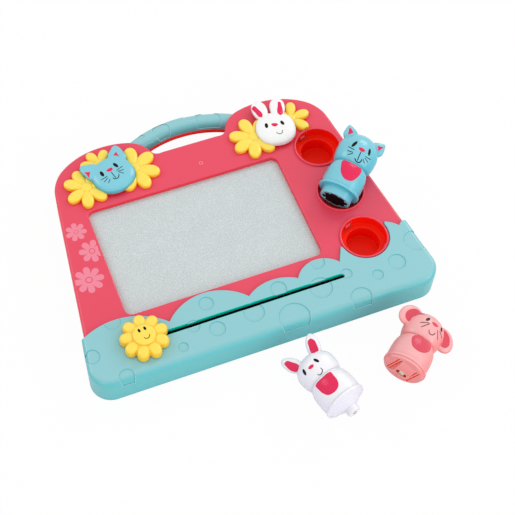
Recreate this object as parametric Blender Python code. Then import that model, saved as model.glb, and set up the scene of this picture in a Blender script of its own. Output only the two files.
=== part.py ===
"""Magnetic drawing board with an eraser slide and three stamper animals.

The board lies flat. The origin is on its underside, below the middle of the window's height and on the
centre line between its two slanted sides. +X runs to the viewer's right, +Y away from the viewer and
+Z up. Lengths are in metres. Outlines are tables of shares of the board's half width.
"""

import math

import bmesh
import bpy
from mathutils import Matrix, Vector

# Gaps and cuts
GAP = 0.0003
OVERRUN = 0.004
JOIN = 0.0006

# Board shell
HALF_WIDTH = 0.159
FRONT_REACH_SHARE = 0.778
FRONT_REACH = HALF_WIDTH * FRONT_REACH_SHARE
SIDE_SLANT_SHARE = 0.128
BOARD_TOP = 0.030
PARTING = 0.017
SHELL_WALL = 0.0022
PLATE_THICKNESS = 0.0025
CORNER_RADIUS = 0.0165
FRAME_SIDE_ROUND = 0.0022
FRAME_FRONT_ROUND = 0.0072
TRAY_FLOOR = 0.0022
TRAY_ROUND = 0.0018

# Half outline of the back edge, from the side to the middle, in shares of the half width
HUMP_SHARES = (
    (0.926, 0.579),
    (0.918, 0.619),
    (0.901, 0.661),
    (0.857, 0.724),
    (0.8, 0.769),
    (0.744, 0.799),
    (0.683, 0.822),
    (0.618, 0.837),
    (0.547, 0.843),
    (0.477, 0.8405),
    (0.412, 0.83),
    (0.3545, 0.8126),
    (0.304, 0.78),
    (0.2726, 0.744),
    (0.253, 0.708),
    (0.24, 0.685),
    (0.22, 0.675),
    (0.176, 0.675),
)

# Window and screen
WINDOW_PLACE_SHARE = -0.149
WINDOW_WIDTH_SHARE = 1.258
WINDOW_DEPTH_SHARE = 0.78
WINDOW_X = HALF_WIDTH * WINDOW_PLACE_SHARE
WINDOW_WIDTH = HALF_WIDTH * WINDOW_WIDTH_SHARE
WINDOW_DEPTH = HALF_WIDTH * WINDOW_DEPTH_SHARE
WINDOW_CORNER = 0.007
LIP_DROP = 0.005
LIP_WALL = 0.0028
SCREEN_OVERLAP = 0.006
FRONT_SHEET = 0.0008
HONEYCOMB_CORE = 0.0016
BACK_SHEET = 0.0008
RETAINER_RIM = 0.0055
SCREEN_RIGHT_OVERLAP = 0.004
SLIDER_RUN_CLEARANCE = 0.0008
RETAINER_THICKNESS = 0.0025

# Ring that closes every stamper
RING_RADIUS = 0.0212

# Stamper cups, which take the ring with a clearance
RING_CLEARANCE = 0.0011
CUP_LEDGE_WIDTH = 0.0057
CUP_FLANGE_WIDTH = 0.0022
CUP_CREST_INSET = 0.0012
CUP_PLACE_SHARES = (0.7642, -0.0031)
CUP_PITCH_SHARE = 0.366
CUP_X = HALF_WIDTH * CUP_PLACE_SHARES[0]
CUP_MIDDLE_Y = HALF_WIDTH * CUP_PLACE_SHARES[1]
CUP_PITCH = HALF_WIDTH * CUP_PITCH_SHARE
CUP_BORE = RING_RADIUS + RING_CLEARANCE
CUP_WALL = 0.0013
CUP_FLANGE = CUP_BORE + CUP_FLANGE_WIDTH
CUP_CREST = CUP_FLANGE - CUP_CREST_INSET
CUP_CREST_HEIGHT = 0.0018
CUP_CREST_OUTER_SHARE = 0.6
CUP_CREST_INNER_SHARE = 0.5
CUP_LEDGE_DEPTH = 0.009
CUP_LOWER_BORE = CUP_BORE - CUP_LEDGE_WIDTH
CUP_DEPTH = 0.024
TONGUE_WIDTH = 0.0078
TONGUE_SLIT = 0.0009
TONGUE_RISE = 0.0011
TONGUE_TOP_DEPTH = 0.0016
TONGUE_BOTTOM_DEPTH = 0.0076
TONGUE_ANGLES = (112.0, -42.0)

# Skirt
SKIRT_WALL = 0.0027
SKIRT_TOP_THICKNESS = 0.0018
SKIRT_SIDE_ROUND = 0.0045
SKIRT_FRONT_ROUND = 0.0095
SKIRT_FOOT = 0.0006
SPOT_DEPTH = 0.0008
SKIRT_CUP_GAP = 0.0007
SKIRT_CUP_CUT = CUP_FLANGE + SKIRT_CUP_GAP
SLOT_PLACE_SHARE = -0.5836
SLOT_Y = HALF_WIDTH * SLOT_PLACE_SHARE
SLOT_END_ROOM = 0.0018
SLOT_HALF = 0.0023
SLOT_END_ROUND_SHARE = 0.999
FRAME_SLOT_HALF = 0.0034

# Wavy back edge of the skirt: start, then pairs of a middle and an end point for each arc
WAVE_SHARES = (
    (-1.060, -0.448),
    (-0.828, -0.396),
    (-0.559, -0.518),
    (-0.319, -0.405),
    (-0.058, -0.519),
    (0.093, -0.462),
    (0.265, -0.505),
    (0.408, -0.421),
    (0.547, -0.485),
)

# Tips of the skirt beside the front cup, measured from the cup's middle
LEFT_TIP_FROM_CUP = (-0.0267, -0.0030)
CUP_CUT_START_DEG = 191.0
CUP_CUT_SWEEP_DEG = 183.0
CUP_CUT_STEPS = 12
LAST_WAVE_FROM_CUP = (
    (0.0256, 0.0089),
    (0.0326, 0.0050),
    (0.0377, 0.0),
    (0.0404, 0.0026),
    (0.0447, 0.0038),
)

# Sunken round spots: place and radius, in shares of the half width
TOP_SPOT_SHARES = (
    (-0.316, -0.480, 0.047),
    (0.126, -0.534, 0.051),
    (0.416, -0.443, 0.048),
    (0.552, -0.579, 0.036),
    (0.728, -0.652, 0.036),
    (0.876, -0.608, 0.055),
    (0.368, -0.616, 0.072),
    (-0.071, -0.633, 0.065),
    (-0.312, -0.661, 0.050),
    (-0.438, -0.597, 0.041),
    (-0.540, -0.706, 0.032),
    (-0.875, -0.406, 0.052),
)
FRONT_SPOT_SHARES = (
    (-0.904, -0.769, 0.048),
    (0.144, -0.748, 0.097),
    (0.573, -0.762, 0.069),
)
SIDE_SPOT_SHARES = (
    (1.047, -0.506, 0.074),
    (-1.054, -0.584, 0.048),
)

# Handle
HANDLE_CENTRE_SHARE = 0.1478
HANDLE_RADIUS_SHARE = 0.7283
HANDLE_CENTRE_Y = HALF_WIDTH * HANDLE_CENTRE_SHARE
HANDLE_RADIUS = HALF_WIDTH * HANDLE_RADIUS_SHARE
HANDLE_HALF_WIDTH = 0.0092
HANDLE_COVER_HEIGHT = 0.009
HANDLE_BAR_HEIGHT = 0.0072
HANDLE_COVER_WALL = 0.002
HANDLE_BAR_CHAMFER_SHARE = 0.7
HANDLE_SPOT_MARGIN_DEG = 2.0
HANDLE_SPREAD_DEG = 40.0
HANDLE_SPOT_SHARES = (
    (-0.278, 0.849, 0.030),
    (-0.132, 0.856, 0.060),
    (0.084, 0.905, 0.044),
    (0.187, 0.832, 0.082),
)

# Badges
BADGE_SEAT = 0.0003
FLOWER_PLATE = 0.002
FLOWER_HEIGHT = 0.0052
FLOWER_ROUND = 0.0024
PETAL_PINCH_SHARE = 0.36
BADGE_HEIGHT = 0.0112
BADGE_SIDE = 0.0045
CAT_BADGE_PLACE_SHARES = (-0.543, 0.579)
CAT_BADGE_SIZE_SHARES = (0.1371, 0.1283)
CAT_BADGE_HALF_WIDTH = HALF_WIDTH * CAT_BADGE_SIZE_SHARES[0]
CAT_BADGE_HALF_HEIGHT = HALF_WIDTH * CAT_BADGE_SIZE_SHARES[1]
CAT_BADGE_TILT_DEG = 18.5
RABBIT_BADGE_PLACE_SHARES = (0.553, 0.569)
RABBIT_BADGE_SIZE_SHARES = (0.1296, 0.1245)
RABBIT_BADGE_HALF_WIDTH = HALF_WIDTH * RABBIT_BADGE_SIZE_SHARES[0]
RABBIT_BADGE_HALF_HEIGHT = HALF_WIDTH * RABBIT_BADGE_SIZE_SHARES[1]
RABBIT_BADGE_TILT_DEG = -7.4
BADGE_POWER = 2.25

# A cat ear's outline in shares of the head's half width and height
CAT_BADGE_EAR_SHARES = (
    (0.28, 0.80),
    (0.62, 0.30),
    (1.02, 0.38),
    (1.10, 0.80),
    (1.09, 1.12),
    (1.00, 1.30),
    (0.88, 1.32),
    (0.66, 1.20),
    (0.40, 1.04),
)

# Rabbit ears: length and foot height in shares of the head's half height, half width and foot place in
# shares of its half width, each with its lean outwards in degrees
RABBIT_EAR_LENGTH_SHARE = 1.173
RABBIT_EAR_MIDDLE_SHARE = 0.51
RABBIT_EAR_WIDTH_SHARE = 0.345
RABBIT_EAR_FOOT_SHARE = 0.62
RABBIT_EAR_POWER = 2.5
LEFT_EAR_PLACE_SHARE = 0.44
LEFT_EAR_LEAN_DEG = 13.0
RIGHT_EAR_PLACE_SHARE = 0.34
RIGHT_EAR_LEAN_DEG = 10.0

# Flowers of the badges: place and reach in shares of the half width, first petal's angle and petal count
CAT_FLOWER_SHARES = (
    (-0.404, 0.589, 0.167, 28.0, 7),
    (-0.727, 0.552, 0.149, 104.0, 7),
    (-0.597, 0.695, 0.121, 60.0, 7),
)
RABBIT_FLOWER_SHARES = (
    (0.400, 0.562, 0.161, 102.0, 7),
    (0.680, 0.625, 0.133, 68.0, 6),
)

# Eraser: at rest the knob stands just inside the window's left edge, and it stops short of the right one
KNOB_INSET = 0.0069
KNOB_X = WINDOW_X - WINDOW_WIDTH / 2.0 + KNOB_INSET
TRAVEL_MARGIN = 0.0035
ERASER_TRAVEL = WINDOW_WIDTH - TRAVEL_MARGIN
KNOB_REACH = 0.0238
KNOB_HEIGHT = 0.0112
KNOB_DISC = 0.0105
KNOB_DISC_RISE = 0.0016
KNOB_DISC_CROWN_SHARE = 0.8
KNOB_DISC_SIDE_SHARE = 0.4
KNOB_PINCH_SHARE = 0.60
KNOB_ROUND = 0.0042
KNOB_PETALS = 9
KNOB_FIRST_PETAL_DEG = 88.0
STEM_LENGTH = 0.008
STEM_WIDTH = 0.0038
STEM_INTO_KNOB = 0.0062
SLIDER_WIDTH = 0.011
SLIDER_END_ROOM = 0.002
SLIDER_BAR_LENGTH = WINDOW_DEPTH - SLIDER_END_ROOM
SLIDER_BASE = 0.0032
SLIDER_CHEEK = 0.002
ARM_PAST_SLOT = 0.0052
MAGNET_WIDTH = 0.005
MAGNET_END_ROOM = 0.004
MAGNET_LENGTH = SLIDER_BAR_LENGTH - MAGNET_END_ROOM
MAGNET_THICKNESS = 0.0023
KNOB_SCREW_RADIUS = 0.0009
KNOB_SCREW_HEAD = 0.0024
KNOB_SCREW_HEAD_HEIGHT = 0.0013
KNOB_SCREW_CROWN_SHARE = 0.8
KNOB_SCREW_SIDE_SHARE = 0.4

# Ribs of the tray and screw posts of the frame
RIB_THICKNESS = 0.0018
RIB_END_MARGIN = 0.006
POST_RADIUS = 0.0036
SCREW_RADIUS = 0.0012
SCREW_LENGTH = 0.012
SCREW_HEAD_RADIUS = 0.003
SCREW_HEAD_HEIGHT = 0.0016
SCREW_WELL_RADIUS = 0.0036
SCREW_SEAT = 0.0024
SCREW_SLOT_WIDTH = 0.0008
SCREW_SLOT_DEPTH = 0.0007
SCREW_CROWN_SHARE = 0.75
SCREW_SIDE_SHARE = 0.55
SCREW_POINT_SHARE = 0.3
SCREW_PLACE_SHARES = (
    (-0.800, 0.610),
    (0.800, 0.640),
    (-0.010, 0.600),
    (-0.950, -0.240),
    (-0.905, -0.700),
    (-0.010, -0.700),
    (0.930, -0.680),
)
HANDLE_SCREW_ANGLES = (-15.0, 15.0)
HANDLE_POST_RADIUS = 0.0034

# Stampers, shared
RING_HEIGHT = 0.0028
RING_ROUND = 0.0008
BODY_START = 0.0031
BODY_NECK = 0.029
BODY_WALL = 0.0017
NECK_BORE = 0.009
NECK_SHOULDER = 0.0018
COLLAR_CLEARANCE = 0.0006
COLLAR_WALL = 0.0014
CAVITY_STEP = 0.0005
COLLAR_HEIGHT = 0.006
BASE_PLATE = 0.0018
HEAD_WALL = 0.002
SPIGOT_RADIUS = 0.0085
SPIGOT_WALL = 0.0014
SPIGOT_LENGTH = 0.0045
BODY_PROFILE_SHARES = (
    (0.972, 0.106),
    (0.976, 0.250),
    (0.970, 0.500),
    (0.944, 0.690),
    (0.894, 0.845),
    (0.828, 0.950),
    (0.778, 1.000),
)
COLLAR_RADIUS = RING_RADIUS * BODY_PROFILE_SHARES[0][0] - BODY_WALL - COLLAR_CLEARANCE
CAVITY_RADIUS = COLLAR_RADIUS - COLLAR_WALL - CAVITY_STEP

# Head forms: half width, half depth, top above the ring and widest level
CAT_HEAD = (0.0212, 0.0198, 0.0650, 0.0445)
RABBIT_HEAD = (0.0201, 0.0192, 0.0575, 0.0420)
MOUSE_HEAD = (0.0200, 0.0192, 0.0608, 0.0440)
HEAD_UNDER_SHARE = 0.80

# Ears
CAT_EAR_TIP = (0.0209, 0.0676)
CAT_EAR_FOOT = (0.0118, 0.0530)
CAT_EAR_HALF = 0.0070
CAT_EAR_TAPER_SHARE = 0.62
RABBIT_EAR_TIP = (0.0170, 0.0725)
RABBIT_EAR_FOOT = (0.0078, 0.0490)
RABBIT_EAR_HALF = 0.0070
RABBIT_EAR_TAPER_SHARE = 0.12
MOUSE_EAR_CENTRE = (0.0197, 0.0480)
MOUSE_EAR_HALF_ROUND = 0.0130
MOUSE_EAR_HALF_OUT = 0.0106
MOUSE_EAR_LEAN_DEG = 42.0
EAR_THICKNESS = 0.0068
EAR_SET_FORWARD = 0.003

# Layers through an ear: share of its outline and of its thickness, from the front to the back
LEAF_EAR_SHARES = ((0.62, -0.5), (0.92, -0.34), (1.0, 0.0), (0.92, 0.34), (0.62, 0.5))
ROUND_EAR_SHARES = ((0.80, -0.5), (0.95, -0.36), (1.0, 0.0), (0.95, 0.36), (0.80, 0.5))

# Cat stamp
SLEEVE_CLEARANCE = 0.0008
SLEEVE_RADIUS = CUP_LOWER_BORE - SLEEVE_CLEARANCE
SLEEVE_WALL = 0.0016
SLEEVE_LENGTH = 0.0085
STAMP_FACE = 0.0014
STAMP_REACH = 0.0138
STAMP_PETALS = 8
STAMP_PINCH_SHARE = 0.78
STAMP_FIRST_PETAL_DEG = 22.5
STAMP_MAGNET_THICKNESS = 0.003

# Rabbit pen
CONE_INSET = 0.0016
CONE_TOP_RADIUS = RING_RADIUS - CONE_INSET
CONE_LENGTH = 0.0065
BOSS_RADIUS = 0.0066
BOSS_LENGTH = 0.0061
BOSS_ROUND = 0.0012
TIP_RADIUS = 0.0017
TIP_REACH = 0.0011
TIP_DEPTH = 0.008
TIP_POINT_SHARE = 0.5
TIP_SHOULDER_SHARE = 0.9
TIP_DOME_SHARE = 0.55
VENT_RADIUS = 0.0006
VENT_PLACE = 0.0178

# Mouse roller
MOUSE_PLATE_INSET = 0.0014
MOUSE_PLATE_RADIUS = RING_RADIUS - MOUSE_PLATE_INSET
MOUSE_PLATE_DROP = 0.0026
MOUSE_PLATE_ROUND = 0.0014
RAIL_PLACE = 0.0098
RAIL_WIDTH = 0.0017
RAIL_LENGTH = 0.029
SLIT_LENGTH = 0.026
SLIT_WIDTH = 0.0008
HUMP_HALF_LENGTH = 0.0078
HUMP_CHORD = 0.0125
HUMP_RISE = 0.0042
VAULT_WALL = 0.001
ROLLER_RADIUS = 0.0033
ROLLER_LENGTH = 0.0054
ROLLER_PROUD = 0.0005
ROLLER_MOUTH_HALF_LENGTH = 0.0054
ROLLER_MOUTH_HALF_HEIGHT = 0.0035
ROLLER_POCKET_CLEARANCE = 0.0006
AXLE_RADIUS = 0.001
AXLE_LENGTH = 0.0138

# Places of the three stampers: the middle of the ring's lower face, heading, lean above level and own turn
CAT_FROM_CUP = (-0.0068, -0.0076, 0.0110)
CAT_PLACE = (CUP_X + CAT_FROM_CUP[0], CUP_MIDDLE_Y + CAT_FROM_CUP[1], BOARD_TOP + CAT_FROM_CUP[2])
CAT_HEADING_DEG = 42.2
CAT_LEAN_DEG = 13.8
CAT_TURN_DEG = 20.0
RABBIT_FROM_FRONT = (0.0354, 0.0887, 0.0215)
RABBIT_PLACE = (RABBIT_FROM_FRONT[0], -FRONT_REACH - RABBIT_FROM_FRONT[1], RABBIT_FROM_FRONT[2])
RABBIT_HEADING_DEG = 106.1
RABBIT_LEAN_DEG = -1.4
RABBIT_TURN_DEG = -24.0
MOUSE_FROM_FRONT = (0.1003, 0.0755, 0.0215)
MOUSE_PLACE = (MOUSE_FROM_FRONT[0], -FRONT_REACH - MOUSE_FROM_FRONT[1], MOUSE_FROM_FRONT[2])
MOUSE_HEADING_DEG = 39.8
MOUSE_LEAN_DEG = -1.4
MOUSE_TURN_DEG = 23.0

# Resolution
CIRCLE_STEPS = 20
STAMPER_STEPS = 16
ROUND_STEPS = 3
HIDDEN_STEPS = 2
SCREW_SIDES = 8
PETAL_SIDES = 6
HANDLE_STEPS = 14
BADGE_STEPS = 24
SPOT_STEPS = 18
WAVE_STEPS = 9
VAULT_STEPS = 36
SOCKET_STEPS = 12
VENT_SIDES = 8
HEAD_HOLLOW_STEPS = 10

# Colours: base colour, roughness and metallic value
PINK_RED = ((0.82, 0.075, 0.13, 1.0), 0.38, 0.0)
CUP_RED = ((0.80, 0.020, 0.030, 1.0), 0.35, 0.0)
TEAL = ((0.33, 0.63, 0.68, 1.0), 0.42, 0.0)
YELLOW = ((0.97, 0.77, 0.16, 1.0), 0.35, 0.0)
SKY_BLUE = ((0.22, 0.53, 0.62, 1.0), 0.35, 0.0)
WHITE = ((0.86, 0.86, 0.87, 1.0), 0.35, 0.0)
PALE_PINK = ((0.90, 0.45, 0.46, 1.0), 0.38, 0.0)
SCREEN_GREY = ((0.60, 0.63, 0.62, 1.0), 0.30, 0.0)
CORE_GREY = ((0.50, 0.52, 0.50, 1.0), 0.60, 0.0)
MAGNET_BLACK = ((0.012, 0.012, 0.013, 1.0), 0.60, 0.0)
TIP_METAL = ((0.62, 0.60, 0.48, 1.0), 0.30, 1.0)
STEEL = ((0.55, 0.56, 0.58, 1.0), 0.30, 1.0)


def clear_scene():
    """Removes what the file opens with."""
    for item in list(bpy.data.objects):
        bpy.data.objects.remove(item, do_unlink=True)


def finish(name, look):
    """One material with the piece's own colour, roughness and metallic value."""
    colour, roughness, metallic = look
    material = bpy.data.materials.new(name)
    material.use_nodes = True
    shader = material.node_tree.nodes["Principled BSDF"]
    shader.inputs["Base Color"].default_value = colour
    shader.inputs["Roughness"].default_value = roughness
    shader.inputs["Metallic"].default_value = metallic
    material.diffuse_color = colour
    return material


def link(name, bm, look=None, parent=None, place=(0.0, 0.0, 0.0), smooth_deg=40.0):
    """Makes an object of a bmesh, shaded smooth up to an angle, and hangs it on its parent."""
    bmesh.ops.recalc_face_normals(bm, faces=bm.faces)
    mesh = bpy.data.meshes.new(name)
    bm.to_mesh(mesh)
    bm.free()
    mesh.shade_smooth()
    mesh.set_sharp_from_angle(angle=math.radians(smooth_deg))
    item = bpy.data.objects.new(name, mesh)
    bpy.context.scene.collection.objects.link(item)
    item.location = place
    item.parent = parent
    if look is not None:
        mesh.materials.append(finish(name + "_finish", look))
    return item


def guide(name, bm, parent=None, place=(0.0, 0.0, 0.0)):
    """A shape that only cuts or joins: it stays out of the model."""
    item = link(name, bm, None, parent, place)
    item.hide_render = True
    item.display_type = "WIRE"
    return item


def combine(target, tool, operation="DIFFERENCE", crossing=False):
    """Cuts, joins or trims the target with a guide whose own shells may cross each other."""
    step = target.modifiers.new(tool.name, "BOOLEAN")
    step.operation = operation
    step.solver = "EXACT"
    step.use_self = crossing
    step.object = tool
    return target


def in_triangles(item):
    """Splits the finished faces into triangles in the piece's own frame."""
    item.modifiers.new("triangles", "TRIANGULATE")
    return item


# Flat outlines


def circle_points(x, y, radius, steps=CIRCLE_STEPS, first=0.0):
    """A circle as a counterclockwise list of points."""
    turn = math.tau / steps
    return [
        (x + radius * math.cos(first + turn * k), y + radius * math.sin(first + turn * k))
        for k in range(steps)
    ]


def oval_points(x, y, half_x, half_y, power, steps=CIRCLE_STEPS):
    """A rounded box between an ellipse (power 2) and a rectangle (high powers)."""
    points = []
    for k in range(steps):
        c, s = math.cos(math.tau * k / steps), math.sin(math.tau * k / steps)
        points.append(
            (
                x + half_x * math.copysign(abs(c) ** (2.0 / power), c),
                y + half_y * math.copysign(abs(s) ** (2.0 / power), s),
            )
        )
    return points


def rounded_box_points(x, y, half_x, half_y, radius, steps=4):
    """A rectangle with round corners."""
    points = []
    corners = ((1, 1, 0.0), (-1, 1, 90.0), (-1, -1, 180.0), (1, -1, 270.0))
    for sx, sy, first in corners:
        cx, cy = x + sx * (half_x - radius), y + sy * (half_y - radius)
        for k in range(steps + 1):
            a = math.radians(first + 90.0 * k / steps)
            points.append((cx + radius * math.cos(a), cy + radius * math.sin(a)))
    return points


def arc_through(start, middle, end, steps):
    """Points of the circle arc through three points, without the start point."""
    (ax, ay), (bx, by), (cx, cy) = start, middle, end
    d = 2.0 * (ax * (by - cy) + bx * (cy - ay) + cx * (ay - by))
    a2, b2, c2 = ax * ax + ay * ay, bx * bx + by * by, cx * cx + cy * cy
    ux = (a2 * (by - cy) + b2 * (cy - ay) + c2 * (ay - by)) / d
    uy = (a2 * (cx - bx) + b2 * (ax - cx) + c2 * (bx - ax)) / d
    first = math.atan2(ay - uy, ax - ux)
    via = (math.atan2(by - uy, bx - ux) - first) % math.tau
    sweep = (math.atan2(cy - uy, cx - ux) - first) % math.tau
    if via > sweep:
        sweep -= math.tau
    radius = math.hypot(ax - ux, ay - uy)
    angles = [first + sweep * k / steps for k in range(1, steps + 1)]
    return [(ux + radius * math.cos(a), uy + radius * math.sin(a)) for a in angles]


def side_at(y):
    """Half width of the red shell at a place along the board."""
    return HALF_WIDTH - SIDE_SLANT_SHARE * y


def corner_points(before, corner, after, radius, steps=7):
    """A polygon corner rounded by an arc that touches both edges."""
    p, a, b = Vector(corner), Vector(before), Vector(after)
    u, v = (a - p).normalized(), (b - p).normalized()
    half = u.angle(v) / 2.0
    centre = p + (u + v).normalized() * (radius / math.sin(half))
    first = p + u * (radius / math.tan(half)) - centre
    last = p + v * (radius / math.tan(half)) - centre
    start = math.atan2(first.y, first.x)
    sweep = (math.atan2(last.y, last.x) - start + math.pi) % math.tau - math.pi
    angles = [start + sweep * k / steps for k in range(steps + 1)]
    return [(centre.x + radius * math.cos(a), centre.y + radius * math.sin(a)) for a in angles]


def board_outline():
    """The red shell's outline, counterclockwise from the left front corner."""
    right = [(x * HALF_WIDTH, y * HALF_WIDTH) for x, y in HUMP_SHARES]
    left = [(-x, y) for x, y in reversed(right)]
    reach = side_at(-FRONT_REACH)
    front_right, front_left = (reach, -FRONT_REACH), (-reach, -FRONT_REACH)
    points = corner_points(left[-1], front_left, front_right, CORNER_RADIUS)
    points += corner_points(front_left, front_right, right[0], CORNER_RADIUS)
    return points + right + left


def edge_normals(points):
    """Outward mitre vectors: moving each point by its vector shifts every edge by one."""
    count = len(points)
    result = []
    for k in range(count):
        p, q, r = Vector(points[k - 1]), Vector(points[k]), Vector(points[(k + 1) % count])
        a, b = (q - p).normalized(), (r - q).normalized()
        n1, n2 = Vector((a.y, -a.x)), Vector((b.y, -b.x))
        result.append((n1 + n2) / (1.0 + n1.dot(n2)))
    return result


def moved_outline(points, distance):
    """The outline moved outwards, or inwards where the distance is negative."""
    return [(x + n.x * distance, y + n.y * distance) for (x, y), n in zip(points, edge_normals(points))]


# Solids


def skin(bm, rings, caps=True, closed=False):
    """Faces between successive rings of the same length, with flat ends or closed on itself."""
    loops = [[bm.verts.new(p) for p in ring] for ring in rings]
    pairs = list(zip(loops, loops[1:] + loops[:1] if closed else loops[1:]))
    for low, high in pairs:
        for k in range(len(low)):
            j = (k + 1) % len(low)
            bm.faces.new((low[k], low[j], high[j], high[k]))
    if caps and not closed:
        bm.faces.new(list(reversed(loops[0])))
        bm.faces.new(loops[-1])
    return bm


def prism(bm, points, low, high):
    """An upright block over an outline."""
    return skin(bm, [[(x, y, low) for x, y in points], [(x, y, high) for x, y in points]])


def box(bm, x, y, half_x, half_y, low, high):
    """An upright rectangular block."""
    corners = ((-1, -1), (1, -1), (1, 1), (-1, 1))
    return prism(bm, [(x + sx * half_x, y + sy * half_y) for sx, sy in corners], low, high)


def turned(bm, profile, steps=CIRCLE_STEPS, place=(0.0, 0.0)):
    """A closed profile of radius and height pairs turned about an upright axis."""
    x, y = place
    rings = [[(x + px, y + py, z) for px, py in circle_points(0.0, 0.0, r, steps)] for r, z in profile]
    return skin(bm, rings, closed=True)


def turned_solid(bm, profile, steps=CIRCLE_STEPS, place=(0.0, 0.0)):
    """Rings of radius and height pairs, closed by flat ends."""
    x, y = place
    rings = [[(x + px, y + py, z) for px, py in circle_points(0.0, 0.0, r, steps)] for r, z in profile]
    return skin(bm, rings)


def rim_solid(bm, outline, low, high, side_round, front_round, steps=ROUND_STEPS):
    """A block whose upper edge is rounded, more at the front than at the sides."""
    normals = edge_normals(outline)
    rounds = []
    for n in normals:
        facing = max(0.0, -n.normalized().y) ** 2
        rounds.append(side_round + (front_round - side_round) * facing)
    rings = [[(x, y, low) for x, y in outline]]
    for k in range(steps + 1):
        a = math.pi / 2.0 * k / steps
        ring = []
        for (x, y), n, r in zip(outline, normals, rounds):
            inward = r * (1.0 - math.cos(a))
            ring.append((x - n.x * inward, y - n.y * inward, high - r + r * math.sin(a)))
        rings.append(ring)
    return skin(bm, rings)


def swept_arch(bm, section, spread_deg, steps):
    """A cross-section of (outwards, up) pairs carried along the handle's arc."""
    rings = []
    for k in range(steps + 1):
        a = math.radians(spread_deg) * (2.0 * k / steps - 1.0)
        c, s = math.cos(a), math.sin(a)
        places = [(HANDLE_RADIUS + u, z) for u, z in section]
        rings.append([(s * r, HANDLE_CENTRE_Y + c * r, z) for r, z in places])
    return skin(bm, rings)


# Board shell


def front_frame():
    """Top shell with the window lip, the cup holes, the slot and the screw posts."""
    outline = board_outline()
    bm = rim_solid(bmesh.new(), outline, PARTING + GAP / 2.0, BOARD_TOP, FRAME_SIDE_ROUND, FRAME_FRONT_ROUND)
    frame = link("front_frame", bm, PINK_RED)
    hollow = bmesh.new()
    inner = moved_outline(outline, -SHELL_WALL)
    inner_front = FRAME_FRONT_ROUND - SHELL_WALL
    ceiling = BOARD_TOP - PLATE_THICKNESS
    rim_solid(hollow, inner, -OVERRUN, ceiling, FRAME_SIDE_ROUND / 2.0, inner_front, HIDDEN_STEPS)
    combine(frame, guide("frame_hollow", hollow))
    posts = bmesh.new()
    post_foot = TRAY_FLOOR + SCREW_SEAT + GAP
    for x, y in screw_places():
        turned_solid(posts, ((POST_RADIUS, post_foot), (POST_RADIUS, ceiling + JOIN)), SCREW_SIDES, (x, y))
    half_x, half_y = WINDOW_WIDTH / 2.0 + LIP_WALL, WINDOW_DEPTH / 2.0 + LIP_WALL
    lip = rounded_box_points(WINDOW_X, 0.0, half_x, half_y, WINDOW_CORNER + LIP_WALL)
    prism(posts, lip, BOARD_TOP - LIP_DROP, ceiling + JOIN)
    combine(frame, guide("frame_posts", posts), "UNION")
    holes = bmesh.new()
    window = rounded_box_points(WINDOW_X, 0.0, WINDOW_WIDTH / 2.0, WINDOW_DEPTH / 2.0, WINDOW_CORNER)
    prism(holes, window, BOARD_TOP - LIP_DROP - OVERRUN, BOARD_TOP + OVERRUN)
    cup_cut = ((cup_hole(), PARTING), (cup_hole(), BOARD_TOP + OVERRUN))
    for y in cup_rows():
        turned_solid(holes, cup_cut, CIRCLE_STEPS, (CUP_X, y))
    slot = slot_points(FRAME_SLOT_HALF)
    prism(holes, slot, PARTING, BOARD_TOP + OVERRUN)
    for x, y in screw_places():
        turned_solid(holes, ((SCREW_RADIUS + GAP, 0.0), (SCREW_RADIUS + GAP, PARTING)), SCREW_SIDES, (x, y))
    return combine(frame, guide("frame_holes", holes))


def cup_hole():
    """Radius of the frame's hole for a cup."""
    return CUP_BORE + CUP_WALL + GAP


def cup_rows():
    """Places of the three cups along the board, from the back to the front."""
    return [CUP_MIDDLE_Y + CUP_PITCH * k for k in (1, 0, -1)]


def screw_places():
    """Places of the screws that close the tray to the frame."""
    return [(x * HALF_WIDTH, y * HALF_WIDTH) for x, y in SCREW_PLACE_SHARES]


def handle_screw_places():
    """Places of the screws that hold the handle's cover to its bar."""
    places = []
    for degrees in HANDLE_SCREW_ANGLES:
        a = math.radians(degrees)
        places.append((HANDLE_RADIUS * math.sin(a), HANDLE_CENTRE_Y + HANDLE_RADIUS * math.cos(a)))
    return places


def slot_points(half):
    """The slot's outline with round ends, which leave the same room for the stem at both ends of its travel."""
    margin = half - SLOT_HALF
    left = KNOB_X - STEM_LENGTH / 2.0 - SLOT_END_ROOM
    right = KNOB_X + ERASER_TRAVEL + STEM_LENGTH / 2.0 + SLOT_END_ROOM
    middle = (left + right) / 2.0
    length = (right - left) / 2.0 + margin
    return rounded_box_points(middle, SLOT_Y, length, half, half * SLOT_END_ROUND_SHARE, 5)


def wave_points():
    """The skirt's back edge from the left side to the right side."""
    table = [(x * HALF_WIDTH, y * HALF_WIDTH) for x, y in WAVE_SHARES]
    points = [(-2.0 * HALF_WIDTH, table[0][1]), table[0]]
    for k in range(0, len(table) - 1, 2):
        points += arc_through(table[k], table[k + 1], table[k + 2], WAVE_STEPS)
    cup_y = CUP_MIDDLE_Y - CUP_PITCH
    points.append((CUP_X + LEFT_TIP_FROM_CUP[0], cup_y + LEFT_TIP_FROM_CUP[1]))
    for k in range(CUP_CUT_STEPS + 1):
        a = math.radians(CUP_CUT_START_DEG + CUP_CUT_SWEEP_DEG * k / CUP_CUT_STEPS)
        points.append((CUP_X + SKIRT_CUP_CUT * math.cos(a), cup_y + SKIRT_CUP_CUT * math.sin(a)))
    last = [(CUP_X + x, cup_y + y) for x, y in LAST_WAVE_FROM_CUP]
    points.append(last[0])
    points += arc_through(last[0], last[1], last[2], 4)
    points += arc_through(last[2], last[3], last[4], 3)
    points.append((2.0 * HALF_WIDTH, last[4][1]))
    return points


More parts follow.
